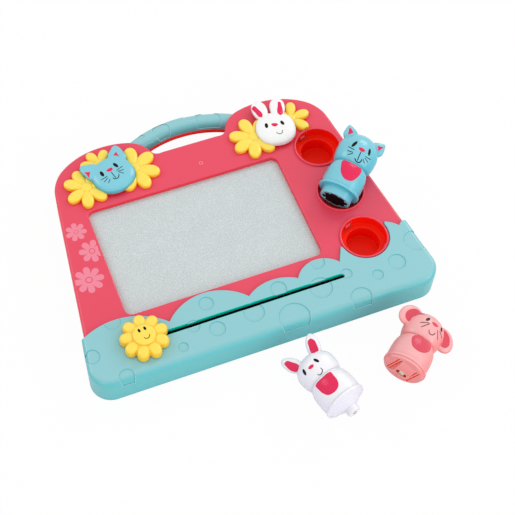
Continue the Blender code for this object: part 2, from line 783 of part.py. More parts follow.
def spot_prisms(bm, table, low, high):
    """Upright discs over a table of spots."""
    for x, y, r in table:
        spot = circle_points(x * HALF_WIDTH, y * HALF_WIDTH, r * HALF_WIDTH, SPOT_STEPS)
        prism(bm, spot, low, high)
    return bm


def lower_skirt():
    """Cover over the front edge: wavy back edge, sunken spots that follow the rounded rim, and the slot."""
    outline = board_outline()
    top = BOARD_TOP + GAP + SKIRT_TOP_THICKNESS
    outer = moved_outline(outline, GAP + SKIRT_WALL)
    bm = rim_solid(bmesh.new(), outer, SKIRT_FOOT, top, SKIRT_SIDE_ROUND, SKIRT_FRONT_ROUND, 5)
    skirt = link("lower_skirt", bm, TEAL)
    inner = moved_outline(outline, GAP)
    under = bmesh.new()
    rim_solid(under, inner, -OVERRUN, BOARD_TOP + GAP, FRAME_SIDE_ROUND, FRAME_FRONT_ROUND)
    combine(skirt, guide("skirt_hollow", under))
    back = bmesh.new()
    edge = wave_points()
    far = HALF_WIDTH + HANDLE_RADIUS
    prism(back, edge + [(edge[-1][0], far), (edge[0][0], far)], -OVERRUN, top + OVERRUN)
    combine(skirt, guide("skirt_back_cut", back))
    slot = bmesh.new()
    prism(slot, slot_points(SLOT_HALF), PARTING, top + OVERRUN)
    combine(skirt, guide("skirt_slot", slot))
    core = bmesh.new()
    shrink = GAP + SKIRT_WALL - SPOT_DEPTH
    rounds = (SKIRT_SIDE_ROUND - SPOT_DEPTH, SKIRT_FRONT_ROUND - SPOT_DEPTH)
    rim_solid(core, moved_outline(outline, shrink), -OVERRUN, top - SPOT_DEPTH, rounds[0], rounds[1], 5)
    core_guide = guide("skirt_spot_floor", core)
    spots = bmesh.new()
    spot_prisms(spots, TOP_SPOT_SHARES, PARTING, top + OVERRUN)
    spot_prisms(spots, FRONT_SPOT_SHARES, top - SKIRT_FRONT_ROUND, top + OVERRUN)
    spot_prisms(spots, SIDE_SPOT_SHARES, top - SKIRT_SIDE_ROUND, top + OVERRUN)
    spot_guide = combine(guide("skirt_spots", spots), core_guide)
    return combine(skirt, spot_guide)


def handle_section(half, height, wall, steps=6):
    """Half oval of the handle cover, hollow from below."""
    outer, inner = [], []
    for k in range(steps + 1):
        a = math.pi * k / steps
        outer.append((half * math.cos(a), PARTING + GAP / 2.0 + height * math.sin(a)))
    for k in range(steps + 1):
        a = math.pi - math.pi * k / steps
        inner.append(((half - wall) * math.cos(a), PARTING + GAP / 2.0 + (height - wall) * math.sin(a)))
    return outer if wall == 0.0 else outer + inner


def handle_cover():
    """Upper half of the handle, with sunken spots, cut to the frame's back edge."""
    section = handle_section(HANDLE_HALF_WIDTH, HANDLE_COVER_HEIGHT, HANDLE_COVER_WALL)
    cover = link("handle_cover", swept_arch(bmesh.new(), section, HANDLE_SPREAD_DEG, HANDLE_STEPS), TEAL)
    posts = bmesh.new()
    low = PARTING + GAP / 2.0
    for x, y in handle_screw_places():
        post = ((HANDLE_POST_RADIUS, low), (HANDLE_POST_RADIUS, low + HANDLE_COVER_HEIGHT - JOIN))
        turned_solid(posts, post, SCREW_SIDES, (x, y))
    combine(cover, guide("handle_posts", posts), "UNION")
    pilots = bmesh.new()
    bore = SCREW_RADIUS + GAP
    for x, y in handle_screw_places():
        pilot = ((bore, PARTING - OVERRUN), (bore, PARTING + HANDLE_COVER_HEIGHT / 2.0))
        turned_solid(pilots, pilot, SCREW_SIDES, (x, y))
    prism(pilots, moved_outline(board_outline(), GAP), PARTING - OVERRUN, BOARD_TOP + OVERRUN)
    combine(cover, guide("handle_cuts", pilots))
    floor = handle_section(HANDLE_HALF_WIDTH - SPOT_DEPTH, HANDLE_COVER_HEIGHT - SPOT_DEPTH, 0.0)
    floor = [(u, z) if z > PARTING + GAP else (u, PARTING - OVERRUN) for u, z in floor]
    spread = HANDLE_SPREAD_DEG + HANDLE_SPOT_MARGIN_DEG
    core = guide("handle_spot_floor", swept_arch(bmesh.new(), floor, spread, HANDLE_STEPS))
    spots = bmesh.new()
    spot_prisms(spots, HANDLE_SPOT_SHARES, PARTING + HANDLE_COVER_WALL, BOARD_TOP + OVERRUN)
    return combine(cover, combine(guide("handle_spots", spots), core))


def slider_run_right():
    """Right side of the space that the slider's bar needs at the end of its travel."""
    return KNOB_X + ERASER_TRAVEL + SLIDER_WIDTH / 2.0 + SLIDER_RUN_CLEARANCE


def screen_box(left_margin, right_margin, depth_margin):
    """Middle and half sizes of a box round the screen, wider on the right for the slider's run."""
    left = WINDOW_X - WINDOW_WIDTH / 2.0 - left_margin
    right = slider_run_right() + right_margin
    return (left + right) / 2.0, (right - left) / 2.0, WINDOW_DEPTH / 2.0 + depth_margin


def slider_levels():
    """Heights inside the board, from the screen downwards."""
    front_top = BOARD_TOP - LIP_DROP - GAP
    core_top = front_top - FRONT_SHEET - GAP
    back_top = core_top - HONEYCOMB_CORE - GAP
    retainer_top = back_top - BACK_SHEET - GAP
    arm_top = retainer_top - RETAINER_THICKNESS - GAP
    return {
        "front": front_top,
        "core": core_top,
        "back": back_top,
        "retainer": retainer_top,
        "retainer_foot": retainer_top - RETAINER_THICKNESS,
        "arm_top": arm_top,
        "arm_foot": arm_top - SLIDER_BASE,
    }


def back_cover():
    """Lower tray with the handle's bar, ribs for the screen and the slider, and screw wells."""
    outline = board_outline()
    high = PARTING - GAP / 2.0
    normals = edge_normals(outline)
    low_ring = [(x - n.x * TRAY_ROUND, y - n.y * TRAY_ROUND, 0.0) for (x, y), n in zip(outline, normals)]
    rings = [low_ring, [(x, y, TRAY_ROUND) for x, y in outline], [(x, y, high) for x, y in outline]]
    tray = link("back_cover", skin(bmesh.new(), rings), PINK_RED)
    half, drop = HANDLE_HALF_WIDTH, HANDLE_BAR_HEIGHT
    side_drop, flat_half = drop * HANDLE_BAR_CHAMFER_SHARE, half * HANDLE_BAR_CHAMFER_SHARE
    section = ((half, high), (-half, high), (-half, high - side_drop), (-flat_half, high - drop))
    section += ((flat_half, high - drop), (half, high - side_drop))
    bar = swept_arch(bmesh.new(), section, HANDLE_SPREAD_DEG, HANDLE_STEPS)
    combine(tray, guide("handle_bar", bar), "UNION")
    hollow = bmesh.new()
    prism(hollow, moved_outline(outline, -SHELL_WALL), TRAY_FLOOR, PARTING + OVERRUN)
    combine(tray, guide("tray_hollow", hollow))
    level = slider_levels()
    ribs = bmesh.new()
    sunk = TRAY_FLOOR - JOIN
    slider_foot = level["arm_foot"] - GAP
    run_left = KNOB_X - SLIDER_WIDTH
    run_right = KNOB_X + ERASER_TRAVEL + SLIDER_WIDTH
    middle, reach = (run_left + run_right) / 2.0, (run_right - run_left) / 2.0
    third = SLIDER_BAR_LENGTH / 3.0
    for y in (third, -third, (SLOT_Y - SLIDER_BAR_LENGTH / 2.0) / 2.0):
        box(ribs, middle, y, reach, RIB_THICKNESS / 2.0, sunk, slider_foot)
    margins = (SCREEN_OVERLAP + RETAINER_RIM / 2.0, SCREEN_RIGHT_OVERLAP + RETAINER_RIM / 2.0, RETAINER_RIM)
    rib_x, rib_reach, rib_y = screen_box(*margins)
    rib_top = level["retainer_foot"] - GAP
    box(ribs, WINDOW_X, rib_y, WINDOW_WIDTH / 2.0, RIB_THICKNESS / 2.0, sunk, rib_top)
    for side in (-1, 1):
        box(ribs, rib_x + side * rib_reach, 0.0, RIB_THICKNESS / 2.0, WINDOW_DEPTH / 3.0, sunk, rib_top)
    boss = SCREW_WELL_RADIUS + SHELL_WALL
    for x, y in screw_places():
        turned_solid(ribs, ((boss, sunk), (boss, TRAY_FLOOR + SCREW_SEAT)), SCREW_SIDES, (x, y))
    combine(tray, guide("tray_ribs", ribs), "UNION", True)
    wells = bmesh.new()
    well, bore, bar_foot = SCREW_WELL_RADIUS, SCREW_RADIUS + GAP, high - HANDLE_BAR_HEIGHT
    for x, y in screw_places():
        turned_solid(wells, ((well, -OVERRUN), (well, SCREW_SEAT)), SCREW_SIDES, (x, y))
    for x, y in handle_screw_places():
        turned_solid(wells, ((well, bar_foot - OVERRUN), (well, bar_foot + SCREW_SEAT)), SCREW_SIDES, (x, y))
    combine(tray, guide("screw_wells", wells))
    shanks = bmesh.new()
    for x, y in screw_places():
        turned_solid(shanks, ((bore, SCREW_SEAT / 2.0), (bore, PARTING)), SCREW_SIDES, (x, y))
    for x, y in handle_screw_places():
        turned_solid(shanks, ((bore, bar_foot), (bore, PARTING + OVERRUN)), SCREW_SIDES, (x, y))
    return combine(tray, guide("screw_shank_holes", shanks))


def stamper_cup(name, y):
    """Cup with a rolled rim, a ledge, a deep lower bore and two snap tongues in its wall."""
    top = BOARD_TOP
    outer, lower_outer = CUP_BORE + CUP_WALL, CUP_LOWER_BORE + CUP_WALL
    ledge, floor = top - CUP_LEDGE_DEPTH, top - CUP_DEPTH
    profile = [
        (CUP_FLANGE, top + GAP),
        (CUP_FLANGE, top + CUP_CREST_HEIGHT * CUP_CREST_OUTER_SHARE),
        (CUP_CREST, top + CUP_CREST_HEIGHT),
        (CUP_BORE, top + CUP_CREST_HEIGHT * CUP_CREST_INNER_SHARE),
        (CUP_BORE, ledge),
        (CUP_LOWER_BORE + CUP_WALL / 2.0, ledge),
        (CUP_LOWER_BORE, ledge - CUP_WALL / 2.0),
        (CUP_LOWER_BORE, floor),
    ]
    outside = [
        (lower_outer, floor - CUP_WALL),
        (lower_outer, ledge - CUP_WALL),
        (outer, ledge - CUP_WALL),
        (outer, top + GAP),
    ]
    bm = bmesh.new()
    rings = [[(px, py, z - top) for px, py in circle_points(0.0, 0.0, r)] for r, z in reversed(profile)]
    rings += [[(px, py, z - top) for px, py in circle_points(0.0, 0.0, r)] for r, z in reversed(outside)]
    skin(bm, rings)
    cup = link(name, bm, CUP_RED, None, (CUP_X, y, top))
    slits, ridges = bmesh.new(), bmesh.new()
    for degrees in TONGUE_ANGLES:
        frame = Matrix.Rotation(math.radians(degrees), 4, "Z")
        add_tongue(slits, ridges, frame)
    combine(cup, guide(name + "_slits", slits, None, cup.location))
    return combine(cup, guide(name + "_ridges", ridges, None, cup.location), "UNION")


def add_tongue(slits, ridges, frame):
    """A U-shaped slit around a tongue in the cup's wall and the ridge on the tongue's free end."""
    reach = CUP_BORE + CUP_WALL / 2.0
    deep = CUP_WALL / 2.0 + OVERRUN / 2.0
    half = TONGUE_WIDTH / 2.0
    low, high = -TONGUE_BOTTOM_DEPTH, -TONGUE_TOP_DEPTH
    slit = bmesh.new()
    outline = (
        (-half - TONGUE_SLIT, high),
        (-half - TONGUE_SLIT, low - TONGUE_SLIT),
        (half + TONGUE_SLIT, low - TONGUE_SLIT),
        (half + TONGUE_SLIT, high),
        (half, high),
        (half, low),
        (-half, low),
        (-half, high),
    )
    near = [(reach - deep, y, z) for y, z in outline]
    far = [(reach + deep, y, z) for y, z in outline]
    skin(slit, [near, far])
    slit.transform(frame)
    merge(slits, slit)
    ridge = bmesh.new()
    face = CUP_BORE - TONGUE_RISE
    ledge = (low + high) / 2.0
    wedge = ((reach, low + GAP), (face, low + TONGUE_RISE), (face, ledge), (reach, ledge + TONGUE_RISE))
    inset = half - TONGUE_SLIT
    skin(ridge, [[(x, -inset, z) for x, z in wedge], [(x, inset, z) for x, z in wedge]])
    ridge.transform(frame)
    merge(ridges, ridge)


def merge(bm, other):
    """Adds one bmesh's closed shells to another."""
    mesh = bpy.data.meshes.new("shell")
    other.to_mesh(mesh)
    other.free()
    bm.from_mesh(mesh)
    bpy.data.meshes.remove(mesh)


# Screen


def sheet(name, level, thickness, look):
    """One layer of the screen."""
    x, half_x, half_y = screen_box(SCREEN_OVERLAP, SCREEN_RIGHT_OVERLAP, SCREEN_OVERLAP)
    bm = box(bmesh.new(), x, 0.0, half_x, half_y, level - thickness, level)
    return link(name, bm, look)


def screen():
    """Front sheet, cell layer, back sheet and the frame that clamps them under the window lip."""
    level = slider_levels()
    sheet("screen_front_sheet", level["front"], FRONT_SHEET, SCREEN_GREY)
    sheet("screen_honeycomb", level["core"], HONEYCOMB_CORE, CORE_GREY)
    sheet("screen_back_sheet", level["back"], BACK_SHEET, SCREEN_GREY)
    margins = [lap + RETAINER_RIM for lap in (SCREEN_OVERLAP, SCREEN_RIGHT_OVERLAP, SCREEN_OVERLAP)]
    x, half_x, half_y = screen_box(*margins)
    outer = rounded_box_points(x, 0.0, half_x, half_y, WINDOW_CORNER)
    bm = prism(bmesh.new(), outer, level["retainer_foot"], level["retainer"])
    retainer = link("screen_retainer", bm, WHITE)
    hole = bmesh.new()
    x, half_x, half_y = screen_box(GAP, 0.0, GAP)
    opening = rounded_box_points(x, 0.0, half_x, half_y, WINDOW_CORNER / 2.0)
    prism(hole, opening, level["retainer_foot"] - OVERRUN, level["retainer"] + OVERRUN)
    combine(retainer, guide("retainer_opening", hole))


# Eraser


def flower_radius(angle, reach, root, petals, first):
    """Distance of a flower's edge from its middle: a row of round petal ends."""
    step = math.tau / petals
    off = (angle - first + step / 2.0) % step - step / 2.0
    along = abs(off) / (step / 2.0)
    return root + (reach - root) * math.sqrt(max(0.0, 1.0 - along**2.6))


def flower_rings(reach, root_share, petals, first_deg, low, high, rounding):
    """Rings of a petalled block with a rounded upper edge, around the origin."""
    first = math.radians(first_deg)
    count = petals * PETAL_SIDES
    angles = [first + math.tau * k / count for k in range(count)]
    levels = ((0.0, low), (0.0, high - rounding), (1.0, high))
    rings = []
    for inward, z in levels:
        ring = []
        inset = inward * rounding
        for a in angles:
            r = flower_radius(a, reach - inset, reach * root_share - inset, petals, first)
            ring.append((r * math.cos(a), r * math.sin(a), z))
        rings.append(ring)
    return rings


def eraser(parent):
    """Knob, slider with its magnet behind the screen, and the screw that joins them."""
    level = slider_levels()
    top = BOARD_TOP + GAP + SKIRT_TOP_THICKNESS
    knob_low = top + GAP
    face = KNOB_HEIGHT - KNOB_DISC_RISE
    form = (KNOB_REACH, KNOB_PINCH_SHARE, KNOB_PETALS, KNOB_FIRST_PETAL_DEG)
    rings = flower_rings(*form, 0.0, face, KNOB_ROUND)
    knob = link("flower_knob", skin(bmesh.new(), rings), YELLOW, parent, (0.0, SLOT_Y, knob_low))
    disc = bmesh.new()
    turned_solid(
        disc,
        (
            (KNOB_DISC, face - JOIN),
            (KNOB_DISC, face + KNOB_DISC_RISE * KNOB_DISC_SIDE_SHARE),
            (KNOB_DISC * KNOB_DISC_CROWN_SHARE, KNOB_HEIGHT),
        ),
        BADGE_STEPS,
    )
    combine(knob, guide("knob_disc", disc, parent, knob.location), "UNION")
    socket = bmesh.new()
    box(socket, 0.0, 0.0, STEM_LENGTH / 2.0 + GAP, STEM_WIDTH / 2.0 + GAP, -OVERRUN, STEM_INTO_KNOB)
    combine(knob, guide("knob_socket", socket, parent, knob.location))
    pilot = bmesh.new()
    bore = KNOB_SCREW_RADIUS + GAP
    turned_solid(pilot, ((bore, 0.0), (bore, STEM_INTO_KNOB + KNOB_DISC_RISE)), SOCKET_STEPS)
    combine(knob, guide("knob_pilot", pilot, parent, knob.location))
    eraser_slider(parent, level, knob_low)
    magnet = bmesh.new()
    magnet_low = level["arm_top"] + GAP
    box(magnet, 0.0, 0.0, MAGNET_WIDTH / 2.0, MAGNET_LENGTH / 2.0, magnet_low, magnet_low + MAGNET_THICKNESS)
    link("eraser_magnet", magnet, MAGNET_BLACK, parent)
    screw = bmesh.new()
    head_low = level["arm_foot"] + GAP
    neck = head_low + KNOB_SCREW_HEAD_HEIGHT
    turned_solid(
        screw,
        (
            (KNOB_SCREW_HEAD * KNOB_SCREW_CROWN_SHARE, head_low),
            (KNOB_SCREW_HEAD, head_low + KNOB_SCREW_HEAD_HEIGHT * KNOB_SCREW_SIDE_SHARE),
            (KNOB_SCREW_HEAD, neck),
            (KNOB_SCREW_RADIUS, neck),
            (KNOB_SCREW_RADIUS, knob_low + STEM_INTO_KNOB + KNOB_DISC_RISE / 2.0),
        ),
        SOCKET_STEPS,
    )
    link("knob_screw", screw, STEEL, parent, (0.0, SLOT_Y, 0.0))


def eraser_slider(parent, level, knob_low):
    """Bar with a groove for the magnet, the arm to the slot and the stem that carries the knob."""
    bar = bmesh.new()
    cheek_top = level["arm_top"] + SLIDER_CHEEK
    box(bar, 0.0, 0.0, SLIDER_WIDTH / 2.0, SLIDER_BAR_LENGTH / 2.0, level["arm_foot"], cheek_top)
    slider = link("eraser_slider", bar, WHITE, parent)
    arm = bmesh.new()
    near, far = -SLIDER_BAR_LENGTH / 2.0 + RIB_END_MARGIN, SLOT_Y - ARM_PAST_SLOT
    middle, reach = (near + far) / 2.0, (near - far) / 2.0
    box(arm, 0.0, middle, SLIDER_WIDTH / 2.0, reach, level["arm_foot"], level["arm_top"])
    combine(slider, guide("slider_arm", arm, parent), "UNION")
    stem = bmesh.new()
    stem_low, stem_high = level["arm_top"] - JOIN, knob_low + STEM_INTO_KNOB - GAP
    box(stem, 0.0, SLOT_Y, STEM_LENGTH / 2.0, STEM_WIDTH / 2.0, stem_low, stem_high)
    combine(slider, guide("slider_stem", stem, parent), "UNION")
    cuts = bmesh.new()
    half_x, half_y = MAGNET_WIDTH / 2.0 + GAP, MAGNET_LENGTH / 2.0 + GAP
    box(cuts, 0.0, 0.0, half_x, half_y, level["arm_top"], cheek_top + OVERRUN)
    seat = level["arm_foot"] + KNOB_SCREW_HEAD_HEIGHT + 2.0 * GAP
    turned_solid(
        cuts,
        (
            (KNOB_SCREW_HEAD + GAP, level["arm_foot"] - OVERRUN),
            (KNOB_SCREW_HEAD + GAP, seat),
            (KNOB_SCREW_RADIUS + GAP, seat),
            (KNOB_SCREW_RADIUS + GAP, knob_low + STEM_INTO_KNOB + OVERRUN),
        ),
        SOCKET_STEPS,
        (0.0, SLOT_Y),
    )
    return combine(slider, guide("slider_cuts", cuts, parent))


# Badges


def badge_outline(place, half_x, half_y, tilt_deg):
    """A badge head's outline on the board."""
    return placed(oval_points(0.0, 0.0, half_x, half_y, BADGE_POWER, BADGE_STEPS), place, tilt_deg)


def dome(bm, outline, low, side, high, steps=4):
    """A block over an outline whose top swells to a rounded cap around its middle."""
    cx = sum(x for x, _ in outline) / len(outline)
    cy = sum(y for _, y in outline) / len(outline)
    rings = [[(x, y, low) for x, y in outline]]
    for k in range(steps + 1):
        a = math.pi / 2.0 * k / (steps + 0.6)
        shrink = math.cos(a) ** 0.55
        z = side + (high - side) * math.sin(a)
        rings.append([(cx + (x - cx) * shrink, cy + (y - cy) * shrink, z) for x, y in outline])
    return skin(bm, rings)


def badge_flowers(name, table, head_outline):
    """Flowers joined under the badge's head, cut back where the head sits."""
    low = BOARD_TOP + BADGE_SEAT
    first, others = table[0], table[1:]
    plate = prism(bmesh.new(), moved_outline(head_outline, -SHELL_WALL), low, low + FLOWER_PLATE)
    flowers = link(name, plate, YELLOW)
    for index, row in enumerate((first,) + others):
        x, y, reach, first_deg, petals = row
        rings = flower_rings(
            reach * HALF_WIDTH, PETAL_PINCH_SHARE, petals, first_deg, low, low + FLOWER_HEIGHT, FLOWER_ROUND
        )
        rings = [[(px + x * HALF_WIDTH, py + y * HALF_WIDTH, z) for px, py, z in ring] for ring in rings]
        combine(flowers, guide(f"{name}_{index}", skin(bmesh.new(), rings)), "UNION")
    cut = bmesh.new()
    prism(cut, moved_outline(head_outline, GAP), low + FLOWER_PLATE, low + FLOWER_HEIGHT + OVERRUN)
    combine(flowers, guide(name + "_seat", cut))
    return flowers


def trim_at_cup(item):
    """Cuts a badge back around the rim of the nearest cup."""
    cut = bmesh.new()
    radius = CUP_FLANGE + GAP
    low, high = BOARD_TOP - OVERRUN, BOARD_TOP + BADGE_HEIGHT
    turned_solid(cut, ((radius, low), (radius, high)), CIRCLE_STEPS, (CUP_X, cup_rows()[0]))
    return combine(item, guide(item.name + "_cup_cut", cut))


def placed(points, place, tilt_deg):
    """Local badge points carried to the board."""
    turn = Matrix.Rotation(math.radians(tilt_deg), 2)
    result = []
    for x, y in points:
        p = turn @ Vector((x, y))
        result.append((place[0] + p.x, place[1] + p.y))
    return result


def badge_head(name, look, place, half_x, half_y, tilt_deg, ears):
    """Swollen animal head with two ears, standing on the flower plate and on the frame."""
    low = BOARD_TOP + BADGE_SEAT + FLOWER_PLATE + GAP
    high = BOARD_TOP + BADGE_HEIGHT
    side = BOARD_TOP + BADGE_SIDE + FLOWER_PLATE
    outline = badge_outline(place, half_x, half_y, tilt_deg)
    head = link(name, dome(bmesh.new(), outline, low, side, high), look)
    for index, ear in enumerate(ears):
        ear_low = BOARD_TOP + BADGE_SEAT + FLOWER_HEIGHT + GAP
        outline = placed(ear, place, tilt_deg)
        bm = dome(bmesh.new(), outline, ear_low, ear_low + BADGE_SIDE / 2.0, high - GAP, ROUND_STEPS)
        combine(head, guide(f"{name}_ear_{index}", bm), "UNION")
    return head


def pointed_ear(side, half_x, half_y):
    """Outline of a cat ear on a badge: a rounded triangle rising from the head."""
    points = [(side * x * half_x, y * half_y) for x, y in CAT_BADGE_EAR_SHARES]
    return points if side > 0 else list(reversed(points))


def long_ear(side, half_x, half_y, lean_deg, place_share):
    """Outline of a rabbit ear on a badge: a long rounded leaf."""
    middle, reach = half_y * RABBIT_EAR_MIDDLE_SHARE, half_y * RABBIT_EAR_LENGTH_SHARE / 2.0
    foot = (side * place_share * half_x, half_y * RABBIT_EAR_FOOT_SHARE)
    oval = oval_points(0.0, middle, half_x * RABBIT_EAR_WIDTH_SHARE, reach, RABBIT_EAR_POWER, STAMPER_STEPS)
    return placed(oval, foot, -side * lean_deg)


def badges():
    """Cat and rabbit badges with their flowers."""
    cat_place = tuple(v * HALF_WIDTH for v in CAT_BADGE_PLACE_SHARES)
    cat_size = (CAT_BADGE_HALF_WIDTH, CAT_BADGE_HALF_HEIGHT)
    outline = badge_outline(cat_place, *cat_size, CAT_BADGE_TILT_DEG)
    badge_flowers("cat_badge_flowers", CAT_FLOWER_SHARES, outline)
    ears = [pointed_ear(side, *cat_size) for side in (-1, 1)]
    badge_head("cat_badge", SKY_BLUE, cat_place, *cat_size, CAT_BADGE_TILT_DEG, ears)
    rabbit_place = tuple(v * HALF_WIDTH for v in RABBIT_BADGE_PLACE_SHARES)
    rabbit_size = (RABBIT_BADGE_HALF_WIDTH, RABBIT_BADGE_HALF_HEIGHT)
    outline = badge_outline(rabbit_place, *rabbit_size, RABBIT_BADGE_TILT_DEG)
    trim_at_cup(badge_flowers("rabbit_badge_flowers", RABBIT_FLOWER_SHARES, outline))
    ears = [
        long_ear(-1, *rabbit_size, LEFT_EAR_LEAN_DEG, LEFT_EAR_PLACE_SHARE),
        long_ear(1, *rabbit_size, RIGHT_EAR_LEAN_DEG, RIGHT_EAR_PLACE_SHARE),
    ]
    badge_head("rabbit_badge", WHITE, rabbit_place, *rabbit_size, RABBIT_BADGE_TILT_DEG, ears)


# Screws


def screws():
    """Screws of the tray and of the handle, each in its well with the head down."""
    bar_foot = PARTING - GAP / 2.0 - HANDLE_BAR_HEIGHT
    seats = [(x, y, SCREW_SEAT) for x, y in screw_places()]
    handle_seats = [(x, y, bar_foot + SCREW_SEAT) for x, y in handle_screw_places()]
    for index, (x, y, z) in enumerate(seats + handle_seats, 1):
        on_tray = index <= len(seats)
        name = f"tray_screw_{index}" if on_tray else f"handle_screw_{index - len(seats)}"
        length = SCREW_LENGTH if on_tray else HANDLE_BAR_HEIGHT
        neck = -GAP
        profile = (
            (SCREW_HEAD_RADIUS * SCREW_CROWN_SHARE, neck - SCREW_HEAD_HEIGHT),
            (SCREW_HEAD_RADIUS, neck - SCREW_HEAD_HEIGHT * SCREW_SIDE_SHARE),
            (SCREW_HEAD_RADIUS, neck),
            (SCREW_RADIUS, neck),
            (SCREW_RADIUS, length - SCREW_RADIUS),
            (SCREW_RADIUS * SCREW_POINT_SHARE, length),
        )
        screw = link(name, turned_solid(bmesh.new(), profile, SCREW_SIDES), STEEL, None, (x, y, z))
        cross = bmesh.new()
        low, high = neck - SCREW_HEAD_HEIGHT - OVERRUN, neck - SCREW_HEAD_HEIGHT + SCREW_SLOT_DEPTH
        box(cross, 0.0, 0.0, SCREW_HEAD_RADIUS + OVERRUN, SCREW_SLOT_WIDTH / 2.0, low, high)
        combine(screw, guide(name + "_slot", cross, None, (x, y, z)))


# Stampers


def stand(name, place, heading_deg, lean_deg, turn_deg):
    """An empty that lays a stamper on its back: heading, lean above level, and turn about its own axis."""
    empty = bpy.data.objects.new(name, None)
    bpy.context.scene.collection.objects.link(empty)
    heading = Matrix.Rotation(math.radians(heading_deg - 90.0), 4, "Z")
    lean = Matrix.Rotation(math.radians(lean_deg - 90.0), 4, "X")
    turn = Matrix.Rotation(math.radians(turn_deg), 4, "Z")
    empty.matrix_world = Matrix.Translation(place) @ heading @ lean @ turn
    return empty


def stamper_body(name, look, parent):
    """Hollow barrel from the ring to the neck."""
    outer = [(r * RING_RADIUS, z * BODY_NECK) for r, z in BODY_PROFILE_SHARES]
    outer[0] = (outer[0][0], BODY_START)
    inner = [(r - BODY_WALL, z) for r, z in outer[0:5:2]]
    inner.append((outer[-1][0] - BODY_WALL, BODY_NECK - NECK_SHOULDER))
    profile = outer + [(NECK_BORE, BODY_NECK), (NECK_BORE, BODY_NECK - NECK_SHOULDER)] + list(reversed(inner))
    return link(name, turned(bmesh.new(), profile, STAMPER_STEPS), look, parent)


def head_rings(form, shrink, low, steps, around):
    """Level ovals of a head between its flat underside and its crown."""
    half_x, half_y, top, wide = form
    half_x, half_y, top = half_x - shrink, half_y - shrink, top - shrink
    rings = []
    for k in range(steps + 1):
        z = low + (wide - low) * k / steps
        s = (wide - z) / (wide - low)
        f = HEAD_UNDER_SHARE + (1.0 - HEAD_UNDER_SHARE) * math.sqrt(max(0.0, 1.0 - s**2.4))
        rings.append([(f * x, f * y, z) for x, y in oval_points(0.0, 0.0, half_x, half_y, 2.0, around)])
    for k in range(1, steps + 2):
        a = math.pi / 2.0 * k / (steps + 1.6)
        z = wide + (top - wide) * math.sin(a)
        f = math.cos(a)
        rings.append([(f * x, f * y, z) for x, y in oval_points(0.0, 0.0, half_x, half_y, 2.0, around)])
    return rings


def stamper_head(name, look, parent, form, ears):
    """Hollow head with a spigot into the neck and two ears."""
    low = BODY_NECK + GAP
    head = link(name, skin(bmesh.new(), head_rings(form, 0.0, low, 3, STAMPER_STEPS)), look, parent)
    inside = skin(bmesh.new(), head_rings(form, HEAD_WALL, low + HEAD_WALL, HIDDEN_STEPS, HEAD_HOLLOW_STEPS))
    combine(head, guide(name + "_inside", inside, parent))
    spigot = bmesh.new()
    turned_solid(spigot, ((SPIGOT_RADIUS, low - SPIGOT_LENGTH), (SPIGOT_RADIUS, low + JOIN)), SOCKET_STEPS)
    combine(head, guide(name + "_spigot", spigot, parent), "UNION")
    bore = bmesh.new()
    radius = SPIGOT_RADIUS - SPIGOT_WALL
    foot, end = low - SPIGOT_LENGTH - OVERRUN, low + HEAD_WALL + OVERRUN
    turned_solid(bore, ((radius, foot), (radius, end)), SOCKET_STEPS)
    combine(head, guide(name + "_bore", bore, parent))
    for index, ear in enumerate(ears):
        combine(head, guide(f"{name}_ear_{index}", ear, parent), "UNION")
    return head


def leaf_ear(side, foot, tip, half, taper_share):
    """An ear as a thick leaf between its foot and its tip, its face towards the front."""
    foot_point = Vector((side * foot[0], foot[1]))
    tip_point = Vector((side * tip[0], tip[1]))
    along = (tip_point - foot_point).normalized()
    across = Vector((along.y, -along.x))
    length = (tip_point - foot_point).length
    outline = []
    for k in range(12):
        a = math.tau * k / 12
        c, s = math.cos(a), math.sin(a)
        taper = 1.0 - taper_share * max(0.0, s) ** 1.5
        p = foot_point + along * (length / 2.0) * (1.0 + s) + across * half * c * taper
        outline.append(p)
    middle = (foot_point + tip_point) / 2.0
    rings = []
    for share, depth in LEAF_EAR_SHARES:
        ring = []
        for p in outline:
            q = middle + (p - middle) * share
            ring.append((q.x, depth * EAR_THICKNESS - EAR_SET_FORWARD, q.y))
        rings.append(ring)
    return skin(bmesh.new(), rings)


def round_ear(side):
    """A mouse ear: a thick oval beside the head, longer around the head than away from it."""
    lean = math.radians(MOUSE_EAR_LEAN_DEG)
    out, around = Vector((math.cos(lean), math.sin(lean))), Vector((-math.sin(lean), math.cos(lean)))
    outline = []
    for c, s in circle_points(0.0, 0.0, 1.0, STAMPER_STEPS):
        p = Vector(MOUSE_EAR_CENTRE) + out * (MOUSE_EAR_HALF_OUT * c) + around * (MOUSE_EAR_HALF_ROUND * s)
        outline.append(Vector((side * p.x, p.y)))
    middle = Vector((side * MOUSE_EAR_CENTRE[0], MOUSE_EAR_CENTRE[1]))
    rings = []
    for share, depth in ROUND_EAR_SHARES:
        ring = [middle + (p - middle) * share for p in outline]
        rings.append([(q.x, depth * EAR_THICKNESS - EAR_SET_FORWARD, q.y) for q in ring])
    return skin(bmesh.new(), rings)


def ring_profile():
    """Outer edge of the ring that closes every stamper, from below upwards."""
    return [
        (RING_RADIUS - RING_ROUND, 0.0),
        (RING_RADIUS, RING_ROUND),
        (RING_RADIUS, RING_HEIGHT - RING_ROUND),
        (RING_RADIUS - RING_ROUND, RING_HEIGHT),
    ]


def collar_profile():
    """Collar inside the body, from its root upwards and back down to the base plate."""
    return [
        (COLLAR_RADIUS, RING_HEIGHT),
        (COLLAR_RADIUS, RING_HEIGHT + COLLAR_HEIGHT),
        (COLLAR_RADIUS - COLLAR_WALL, RING_HEIGHT + COLLAR_HEIGHT),
        (COLLAR_RADIUS - COLLAR_WALL, BASE_PLATE),
    ]


